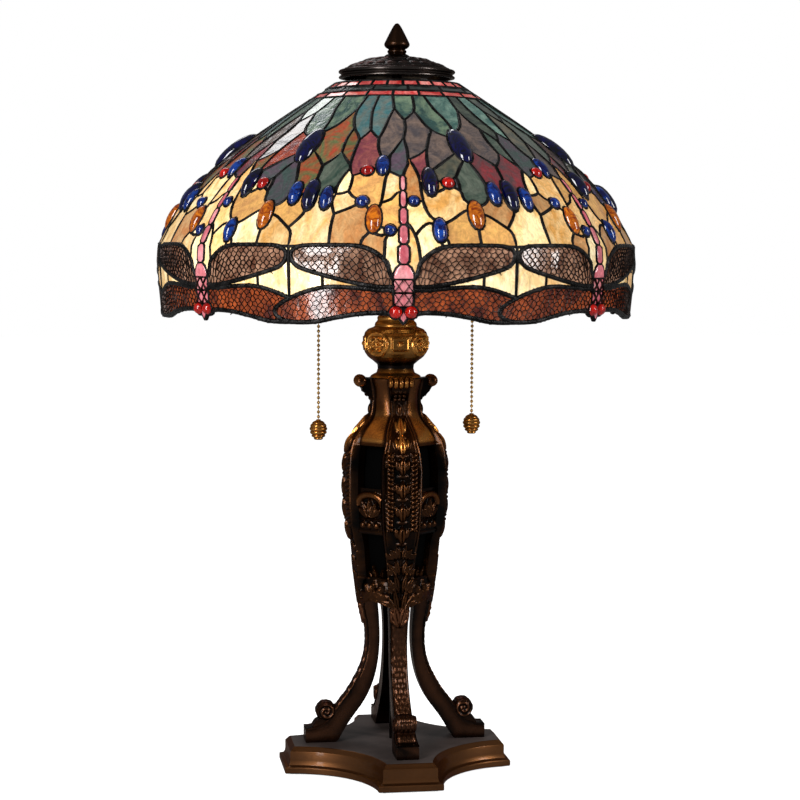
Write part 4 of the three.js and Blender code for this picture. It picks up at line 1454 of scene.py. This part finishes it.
# ---- legs and feet ----
# Along a leg from top to toe: outer (distance, height), inner (distance, height), width.
LEG_PATH = [
    ((35, 171), (19, 171), 20), ((34, 162), (18, 162), 20), ((31, 149), (16.8, 149), 18),
    ((29.2, 131), (16, 131), 17), ((30.4, 114), (17, 113), 17), ((35, 99.5), (19.8, 96), 17),
    ((41, 88), (24.6, 81), 17), ((47.4, 77), (32, 66.4), 17.4), ((55.4, 66.8), (40.8, 55), 18),
    ((61.6, 59), (48.4, 44.5), 19), ((66.6, 52), (54, 35.5), 20.4), ((70.6, 47.6), (58.6, 26.9), 21.6),
    ((75, 44.6), (65, 26.9), 22), ((80.4, 42.8), (74, 26.9), 22), ((86, 41.4), (82.6, 26.9), 22),
    ((90.6, 41.4), (90.4, 26.9), 22),
]
LEG_STEPS = 170
LEG_BOTTOM = 26.9
LEG_SCALE, FOOT_SCALE = 5.6, 4.3  # size of the carved scales


def scale_relief(along, across, pitch):
    """Overlapping scales: how proud each point stands."""
    best = np.zeros_like(along)
    for shift in (0, 1):
        row = np.floor(along / pitch) + shift
        offset = (row % 2) * 0.5
        a = ((across / pitch + offset) % 1 - 0.5) * 2
        b = along / pitch - row
        inside = np.clip(1 - (a * a * 0.8 + b * b), 0, 1)
        best = np.maximum(best, np.sqrt(inside) * (0.65 + 0.35 * b))
    return best


def leg_section():
    """Round a leg's section: the share across, how deep from the outer face, and where the outer face is."""
    front, back, flank = 29, 9, 9
    u = np.concatenate([np.linspace(-1, 1, front), np.ones(flank), np.linspace(1, -1, back), -np.ones(flank)])
    depth = np.concatenate([np.zeros(front), np.linspace(0.05, 0.95, flank), np.ones(back),
                            np.linspace(0.95, 0.05, flank)])
    return u, depth, depth == 0


def leg_path():
    """The leg's path in many steps, smoothed: outer points, inner points and widths."""
    places = np.linspace(0, len(LEG_PATH) - 1, LEG_STEPS)
    table = np.array([[*outer, *inner, width] for outer, inner, width in LEG_PATH])
    keys = np.arange(len(LEG_PATH))
    path = np.stack([np.interp(places, keys, column) for column in table.T], 1)
    window = 11
    padded = np.pad(path, ((window // 2,) * 2, (0, 0)), mode="reflect", reflect_type="odd")
    path = np.stack([np.convolve(column, np.ones(window) / window, mode="valid") for column in padded.T], 1)
    path[:, 3] = np.maximum(path[:, 3], LEG_BOTTOM)
    return path[:, 0:2], path[:, 2:4], path[:, 4]


def running_length(points):
    """How far along the path each of its points is."""
    return np.concatenate([[0], np.cumsum(np.hypot(*np.diff(points, axis=0).T))])


def leg_mesh():
    """The points of a leg and their share of wear and painted light: scales down the outer face, a leaf at the
    knee, and flanks with a painted sheen down their middle.
    """
    outer, inner, width = leg_path()
    run = running_length(outer)
    u, depth, on_front = leg_section()
    points = np.zeros((LEG_STEPS, len(u), 3))
    wear_and_light = np.zeros((LEG_STEPS, len(u)))
    for k in range(LEG_STEPS):
        outward = outer[k] - inner[k]
        outward = outward / np.hypot(*outward)
        across = u * width[k] / 2
        front = across[on_front]
        here = np.full(len(front), run[k])
        fade = min(1.0, max(0.0, (140 - run[k]) / 6))
        scales = 2.1 * scale_relief(here, front, LEG_SCALE) * fade * (np.abs(front) < width[k] / 2 - 2)
        knee = 4.2 * fan(front, here * -1 + 27, 26, 4.2, (-0.5, -0.2, 0.2, 0.5), 3) if run[k] < 28 else 0
        carving = np.maximum(scales, knee) + 1.1 * ridge_height(np.abs(front) - width[k] / 2 + 1.2, 0.8)
        lift = np.zeros_like(u)
        lift[on_front] = carving - 1.6 * np.abs(u[on_front]) ** 4 - 0.8
        groove = 0.9 * np.exp(-((depth - 0.16) / 0.05) ** 2) * (np.abs(u) == 1)
        base = inner[k] + np.outer(1 - depth, outer[k] - inner[k]) + np.outer(lift, outward)
        points[k] = np.stack([base[:, 0], across - np.sign(across) * groove, base[:, 1]], 1)
        # Painted sheen down the middle of each flank and painted shade towards its edges.
        wear_and_light[k] = 0.08 + 0.34 * np.sin(math.pi * depth) ** 2
        wear_and_light[k][on_front] = 0.08 + carving * 0.28
    return points, wear_and_light


def disc_rings(build, centre, radius, half, sign):
    """One face of a volute: a raised ring winding in to a button, on the side given by sign."""
    rings = 20
    rows, wear_and_light = [], []
    for k in range(rings + 1):
        row = []
        for t in steps_round(40):
            r = radius * (1 - k / rings) + 0.02
            wave = math.cos(TAU * r / 4.4 + t * sign) if k > 1 else 0.0
            edge = -1.5 * max(0.0, 1 - k / 2.0)
            lift = 0.65 * wave * min(1.0, r / 2.2)
            out = sign * (half + lift + edge)
            row.append((centre[0] + r * math.cos(t), out, centre[1] + r * math.sin(t)))
            wear_and_light.append(0.3 + 0.3 * wave)
        rows.append(row)
    build.add_rows(rows, wear_and_light=wear_and_light)


def scaled_band(build, outline, half, rise):
    """An outline in x and z carried across a foot, with scales standing proud all round it."""
    loop = np.array(outline)
    run = running_length(loop)
    outward = loop - loop.mean(0)
    outward /= np.hypot(*outward.T)[:, None]
    across = np.linspace(-half, half, 25)[:, None]
    scales = scale_relief(run * np.ones_like(across), across * np.ones_like(run), FOOT_SCALE)
    lift = rise * scales * np.clip((half - 1 - np.abs(across)) / 1.4, 0, 1)
    points = np.stack([loop[:, 0] + outward[:, 0] * lift, across * np.ones_like(run),
                       loop[:, 1] + outward[:, 1] * lift], -1)
    grid(build, points, closed=True, wear_and_light=0.02 + 0.85 * scales ** 2)


FOOT_STALK = [(60, 58), (58, 48), (62, 43), (72, 41.5), (82, 41.5), (80, 46), (76, 49), (72, 53)]


def foot_scroll(build):
    """The volute standing on the toe, scaled like the leg over its rim, with a scaled stalk under it."""
    centre, radius, half = (69.4, 56.6), 8.6, 10.4
    rim = [(centre[0] + radius * math.cos(t), centre[1] + radius * math.sin(t)) for t in steps_round(72)]
    scaled_band(build, rim, half - 1.5, 2.4)
    for sign in (-1, 1):
        disc_rings(build, centre, radius, half, sign)
    stalk = smooth_line(FOOT_STALK, 6)
    scaled_band(build, stalk, 9, 1.8)
    for side in (-9, 9):
        flank = [(x, side, z) for x, z in stalk]
        build.add(flank, [list(range(len(flank)))[::(1 if side < 0 else -1)]], None, 0.2)


def build_legs():
    """Four legs with their feet, one mesh turned to each side."""
    points, wear_and_light = leg_mesh()
    for side, n in (("right", 0), ("back", 1), ("left", 2), ("front", 3)):
        made = Build()
        grid(made, points, closed=True, wear_and_light=wear_and_light)
        steps, count, _ = points.shape
        made.faces.append(list(range(count))[::-1])
        made.faces.append(list(range((steps - 1) * count, steps * count)))
        foot_scroll(made)
        build = Build()
        build.add_turned(made, n * QUARTER)
        piece(f"sabre_leg_{side}", build, "stand", LEG_BRONZE, crease=50,
              replaces=[f"leg_{side}"])


# ---- base plate ----
PLATE_CUT = 107.5  # how far out the cut corners are
BITE_CENTRE, BITE_R = 116.3, 90.2
PLATE_TOP_Z = 26.5
# How far the plate's side stands out, and at which height.
PLATE_EDGE = [(4.6, 1.5), (5.5, 2.3), (5.5, 6.8), (4.9, 7.7), (2.6, 8.3), (1.2, 9.3), (0.3, 11.5), (0, 14),
              (0, 21.4), (-0.3, 22.4), (-1.2, 23), (-3.4, 25.6), (-4.4, 26.3), (-4.9, PLATE_TOP_Z)]


def plate_outline(grow):
    """A square with its corners cut on the axes and a round bite out of each side."""
    cut, radius = PLATE_CUT + grow, BITE_R - grow
    lean = math.asin((BITE_CENTRE - cut) / radius)
    half = BITE_CENTRE - radius * math.cos(lean)
    angles = np.linspace(math.pi - lean, QUARTER + lean, 29)[1:-1]
    arc = [(BITE_CENTRE + radius * math.cos(a), -BITE_CENTRE + radius * math.sin(a)) for a in angles]
    outline = []
    for n in range(4):
        spin = n * QUARTER
        for x, y in [(-half, -cut), (half, -cut)] + arc:
            outline.append((x * math.cos(spin) - y * math.sin(spin), x * math.sin(spin) + y * math.cos(spin)))
    return outline


def build_plate():
    """The moulded side of the base plate, and its flat top."""
    sides = Build()
    sides.add_rows([[(x, y, z) for x, y in plate_outline(grow)] for grow, z in PLATE_EDGE])
    sides.faces.append(list(range(len(plate_outline(0))))[::-1])
    piece("plinth_sides", sides, "stand", PLATE_SIDE, crease=24, replaces=["base_plate"])
    top = Build()
    inset = plate_outline(PLATE_EDGE[-1][0])
    top.add_rows([[(x * share, y * share, PLATE_TOP_Z) for x, y in inset]
                  for share in (1, 0.75, 0.5, 0.25, 0.02)])
    piece("plinth_top", top, "stand", PLATE_TOP)


# ---- cap and finial ----
CAP_RIM = [(53.4, 683.9), (56.6, 683.9), (57, 685.2), (55.8, 686.3), (54.8, 687.2), (55.4, 688.3),
           (57, 689.2), (57.2, 690.8), (56, 691.9), (53.4, 692.6)]
CAP_DOME = [(11.5, 705.9), (23, 703.9), (30.4, 702), (35.8, 700.2), (41, 698.2), (45.6, 696.2), (50, 694.2),
            (53.4, 692.6)]
CAP_INSIDE = [(11.5, 705.3), (6, 705.2), (6, 702), (22, 701), (35, 697.8), (44, 694.4), (50, 690.8),
              (52, 687), (52.8, 685), (53.4, 683.9)]
FINIAL = [(12, 706.2), (10.6, 707.2), (8.6, 708.2), (9.3, 709.6), (9.3, 711), (8.2, 712.4), (10.8, 714),
          (12.3, 716), (12.4, 718), (11.2, 720.6), (8.6, 725.8), (5.6, 731.6), (3.2, 735.6), (1.6, 737.4),
          (0, 737.9)]


def build_cap():
    """The vent cap with its bands of petals, and the finial."""
    build = Build()
    lathe(build, smooth_line(CAP_RIM, 2), 96, wear_and_light=0.35)
    share = np.linspace(0, 1, 40)[:, None]
    r = CAP_DOME[-1][0] * (1 - share) + CAP_DOME[0][0] * share
    z = np.interp(r, *zip(*CAP_DOME))
    angle = np.linspace(0, TAU, 264, endpoint=False)[None, :]
    petals = np.abs(np.cos(angle * 12)) ** 0.7
    outer_band = ridge_height(r - 45, 4.6) * petals
    inner_band = ridge_height(r - 30, 6.5) * np.abs(np.cos(angle * 8 + r * 0.12)) ** 0.6
    rings = ridge_height(r - 51, 0.7) + ridge_height(r - 38, 0.8) + ridge_height(r - 20.5, 0.8)
    lift = 1.6 * outer_band + 1.5 * inner_band + 0.8 * rings
    points = np.stack([r * np.cos(angle), r * np.sin(angle), (z + lift - 0.6) * np.ones_like(angle)], -1)
    grid(build, points, closed=True, wear_and_light=np.clip(lift * 0.45, 0, 1))
    lathe(build, CAP_INSIDE, 96, wear_and_light=0.1)
    piece("vent_dome", build, "shade", CAP_METAL, crease=35, replaces=["vent_cap"])
    tip = Build()
    lathe(tip, [(5.3, 706), (11.8, 706)] + smooth_line(FINIAL), 48)
    piece("finial_tip", tip, "finial", FINIAL_METAL, crease=35, replaces=["finial"])


# ---- chains, pulls, bulbs and cord ----
CHAIN_X, CHAIN_PIVOT, PITCH = 77, 500, 4.7
BEAD_R, WIRE_R = 1.65, 0.4
ACORN = [(0, -20.4), (3.4, -20.2), (4.6, -19), (4.4, -18.2), (6.6, -17), (6.8, -15.8), (6.3, -15.2),
         (8, -13.8), (8.3, -12.2), (7.6, -11.4), (8.7, -10), (8.7, -8.4), (7.8, -7.6), (8.1, -6.4),
         (7.4, -4.8), (6.4, -4.2), (6, -3), (4.4, -1.8), (2.4, -1), (2, 0), (0, 0)]


def bead_run(x, heights, low, high):
    """Balls at the given heights on a wire from low to high."""
    build = Build()
    for z in heights:
        ball(build, (x, 0, z), (BEAD_R,) * 3)
    lathe(build, [(WIRE_R, low), (WIRE_R, high)], 6, (x, 0))
    return build


def build_chains():
    """Each holder's chain, in its two moving parts, and its pull."""
    for hand, sign, count in (("left", -1, 32), ("right", 1, 31)):
        x = sign * CHAIN_X
        lead = bead_run(x, [CHAIN_PIVOT + (1.5 - k) * PITCH for k in range(2)], CHAIN_PIVOT,
                        CHAIN_PIVOT + 2 * PITCH)
        start = CHAIN_PIVOT - 0.3
        end = start - count * PITCH
        hanging = bead_run(x, [start - (k + 0.5) * PITCH for k in range(count)], end - 1, start)
        knob = Build()
        lathe(knob, [(r, end - 0.3 + z) for r, z in smooth_line(ACORN, 2)], 28, (x, 0))
        for name, build, body, metal, slot, crease, node in (
                ("chain_lead", lead, "puller", BRASS, "lamp_brass", 60, "chain_top"),
                ("bead_chain", hanging, "chain", BRASS, "lamp_brass", 60, "pull_chain"),
                ("acorn_pull", knob, "chain", GOLDEN, "gold_bronze", 50, "pull_knob")):
            piece(f"{name}_{hand}", build, f"{body}_{hand}", metal, crease, [f"{node}_{hand}"])


def bulb_material():
    """Frosted glass with a warm light of its own."""
    material, tree, shader = new_material("frosted_bulb")
    haze = noise_node(tree, object_vector(tree), 30, 2)
    tone = ramp_node(tree, haze.outputs["Fac"], [(0.3, (1, 0.86, 0.62)), (0.7, (1, 0.92, 0.74))])
    tree.links.new(tone.outputs["Color"], shader.inputs["Base Color"])
    tree.links.new(tone.outputs["Color"], shader.inputs["Emission Color"])
    shader.inputs["Emission Strength"].default_value = 1.6
    shader.inputs["Roughness"].default_value = 0.25
    return material


BULB_SHAPE = [(0, 542.2), (12.4, 542.4), (13, 547), (14.4, 556), (19.6, 569), (26.4, 581), (29.8, 593),
              (29.2, 604), (24.6, 615), (16, 622.6), (6, 625.6), (0, 626)]
BULB_CONTACT = [(0, 518), (4, 518.2), (5.4, 519.4), (11.5, 522.4)]
THREAD_TURNS, THREAD_PITCH = 5, 3.2


def build_bulbs():
    """Two bulbs, each with its glass and its screw cap."""
    glow = bulb_material()
    for hand, sign in (("left", -1), ("right", 1)):
        x = sign * BULB_X
        glass = Build()
        lathe(glass, smooth_line(BULB_SHAPE), 40, (x, 0))
        piece(f"bulb_envelope_{hand}", glass, f"bulb_{hand}", glow,
              replaces=[f"bulb_glass_{hand}"])
        thread = []
        for k in range(THREAD_TURNS):
            thread += [(13, 523.5 + k * THREAD_PITCH), (12.1, 525.1 + k * THREAD_PITCH)]
        base = Build()
        lathe(base, BULB_CONTACT + thread + [(12.9, 541.8), (0, 541.9)], 40, (x, 0))
        piece(f"screw_cap_{hand}", base, f"bulb_{hand}", STEEL, crease=50,
              replaces=[f"bulb_base_{hand}"])


def tube_along(build, points, radius, sides=14):
    """A round tube along a smooth path."""
    path = [Vector(p) for p in smooth_line(points, 8)]
    rows = []
    for i, here in enumerate(path):
        along = (path[min(i + 1, len(path) - 1)] - path[max(i - 1, 0)]).normalized()
        side = along.cross(Vector((1, 0, 0))).normalized()
        up = side.cross(along)
        rows.append([here + (side * math.cos(t) + up * math.sin(t)) * radius for t in steps_round(sides)])
    build.add_rows(rows, capped=True)


CORD_PATH = [(0, 114.5, 13), (0, 117.5, 13), (-3, 121, 11), (-12, 123.5, 6.5), (-22, 125.5, 3.6),
             (-31, 129.5, 3.2), (-33.5, 135.5, 3.2), (-29, 141, 3.2), (-23, 142, 3.2), (-18.4, 142, 3.2)]
CORD_R = 2.7


def build_cord():
    """The cord from the plate's back to its plug. Gives back its material."""
    rubber = plain_material("cord_sheath", screen(16, 15, 15), screen(34, 32, 31), 0.55, 300, 0.3)
    cord = Build()
    tube_along(cord, CORD_PATH, CORD_R)
    piece("cord_run", cord, "stand", rubber, replaces=["power_cord"])
    return rubber


def finish_hidden_nodes(rubber):
    """Materials for the CAD nodes that are shown as they are."""
    porcelain = plain_material("glazed_porcelain", screen(222, 216, 204), screen(240, 236, 226), 0.25, 60,
                               0.1)
    felt = plain_material("green_felt", screen(24, 40, 30), screen(44, 64, 50), 0.95, 900, 0.8)
    looks = {"base_felt": felt, "power_cord": rubber, "cord_plug": rubber, "cord_grommet": rubber,
             "shade_top_ring": DARK_RING, "shade_spider": DARK_RING, "centre_tube": DARK_RING}
    for name, node in frame["nodes"].items():
        material = looks.get(name)
        if material is None and ("insulator" in name or "rotor" in name):
            material = porcelain
        if material is None and any(word in name for word in ("screw", "nut", "washer")):
            material = STEEL
        node.data.materials.clear()
        node.data.materials.append(material or BRASS)


# ---- stage ----
# Area lights, in metres: name, place, what it points at, size and watts.
LIGHTS = [
    ("key", (-1.6, -1.7, 1.7), (0, 0, 0.45), (0.7, 1.2), 50),
    ("low_key", (-1.5, -1.6, 0.4), (0, 0, 0.36), (0.3, 0.8), 17),
    ("fill", (1.9, -1.4, 1.2), (0, 0, 0.4), (0.5, 1.4), 32),
    ("back", (-0.2, 1.5, 1.9), (0, 0, 0.65), (1.0, 0.4), 5),
]
# The camera, in metres: how far away, how high, how far to the side, and how it is turned.
CAMERA_AWAY, CAMERA_HIGH, CAMERA_ASIDE = 2.0, 0.525, 0.0045
CAMERA_AZIMUTH, CAMERA_PITCH, CAMERA_ROLL = math.radians(-8.7), math.radians(4.5), math.radians(0.25)
LENS, SENSOR = 90.8, 36
FLOOR_HALF, FLOOR_Z = 9000, -0.2


def seen_more(tree, extra, rest):
    """A strength that is higher by extra where the camera looks at it than where it lights other things."""
    seen = tree.nodes.new("ShaderNodeLightPath").outputs["Is Camera Ray"]
    return seen, math_node(tree, "ADD", math_node(tree, "MULTIPLY", seen, extra), rest)


def build_lights():
    """The studio lights."""
    for name, place, target, size, watts in LIGHTS:
        data = bpy.data.lights.new(name, "AREA")
        data.shape = "RECTANGLE"
        data.size, data.size_y = size
        data.energy = watts
        lamp = bpy.data.objects.new(name, data)
        bpy.context.scene.collection.objects.link(lamp)
        lamp.location = place
        lamp.rotation_euler = (Vector(target) - Vector(place)).to_track_quat("-Z", "Y").to_euler()


def build_floor():
    """A pale floor that looks brighter to the camera than to the lamp's metal."""
    h = FLOOR_HALF
    corners = [Vector((x, y, FLOOR_Z)) * MM for x, y in ((-h, -h), (h, -h), (h, h), (-h, h))]
    mesh = bpy.data.meshes.new("floor")
    mesh.from_pydata(corners, [], [[0, 1, 2, 3]])
    material, tree, shader = new_material("floor_paper")
    shader.inputs["Roughness"].default_value = 0.9
    shader.inputs["Emission Color"].default_value = (1, 1, 1, 1)
    seen, glow = seen_more(tree, 0.77, 0.06)
    tree.links.new(mix_node(tree, seen, (0.3, 0.3, 0.3), (0.9, 0.9, 0.89)), shader.inputs["Base Color"])
    tree.links.new(glow, shader.inputs["Emission Strength"])
    mesh.materials.append(material)
    floor = bpy.data.objects.new("floor", mesh)
    bpy.context.scene.collection.objects.link(floor)


def build_world():
    """A white studio, dimmer in reflections than behind the lamp."""
    world = bpy.data.worlds.new("studio")
    bpy.context.scene.world = world
    world.use_nodes = True
    background = world.node_tree.nodes["Background"]
    _, strength = seen_more(world.node_tree, 0.8, 0.2)
    world.node_tree.links.new(strength, background.inputs["Strength"])
    background.inputs["Color"].default_value = (1, 1, 1, 1)
    bpy.context.scene.view_settings.view_transform = "Standard"


def build_camera():
    """The camera at the photograph's angle."""
    data = bpy.data.cameras.new("camera")
    data.lens = LENS
    data.sensor_width = SENSOR
    camera = bpy.data.objects.new("camera", data)
    bpy.context.scene.collection.objects.link(camera)
    right = Vector((math.cos(CAMERA_AZIMUTH), math.sin(CAMERA_AZIMUTH), 0))
    away = Vector((math.sin(CAMERA_AZIMUTH), -math.cos(CAMERA_AZIMUTH), 0))
    camera.location = away * CAMERA_AWAY + right * CAMERA_ASIDE
    camera.location.z = CAMERA_HIGH
    camera.rotation_mode = "XYZ"
    turn = Matrix.Rotation(CAMERA_AZIMUTH, 4, "Z") @ Matrix.Rotation(QUARTER - CAMERA_PITCH, 4, "X")
    camera.rotation_euler = (turn @ Matrix.Rotation(CAMERA_ROLL, 4, "Z")).to_euler()
    bpy.context.scene.camera = camera


build_shade()
build_plate()
build_legs()
build_urn()
build_lining()
build_neck()
build_cap()
build_chains()
build_bulbs()
finish_hidden_nodes(build_cord())
build_floor()
build_world()
build_lights()
build_camera()
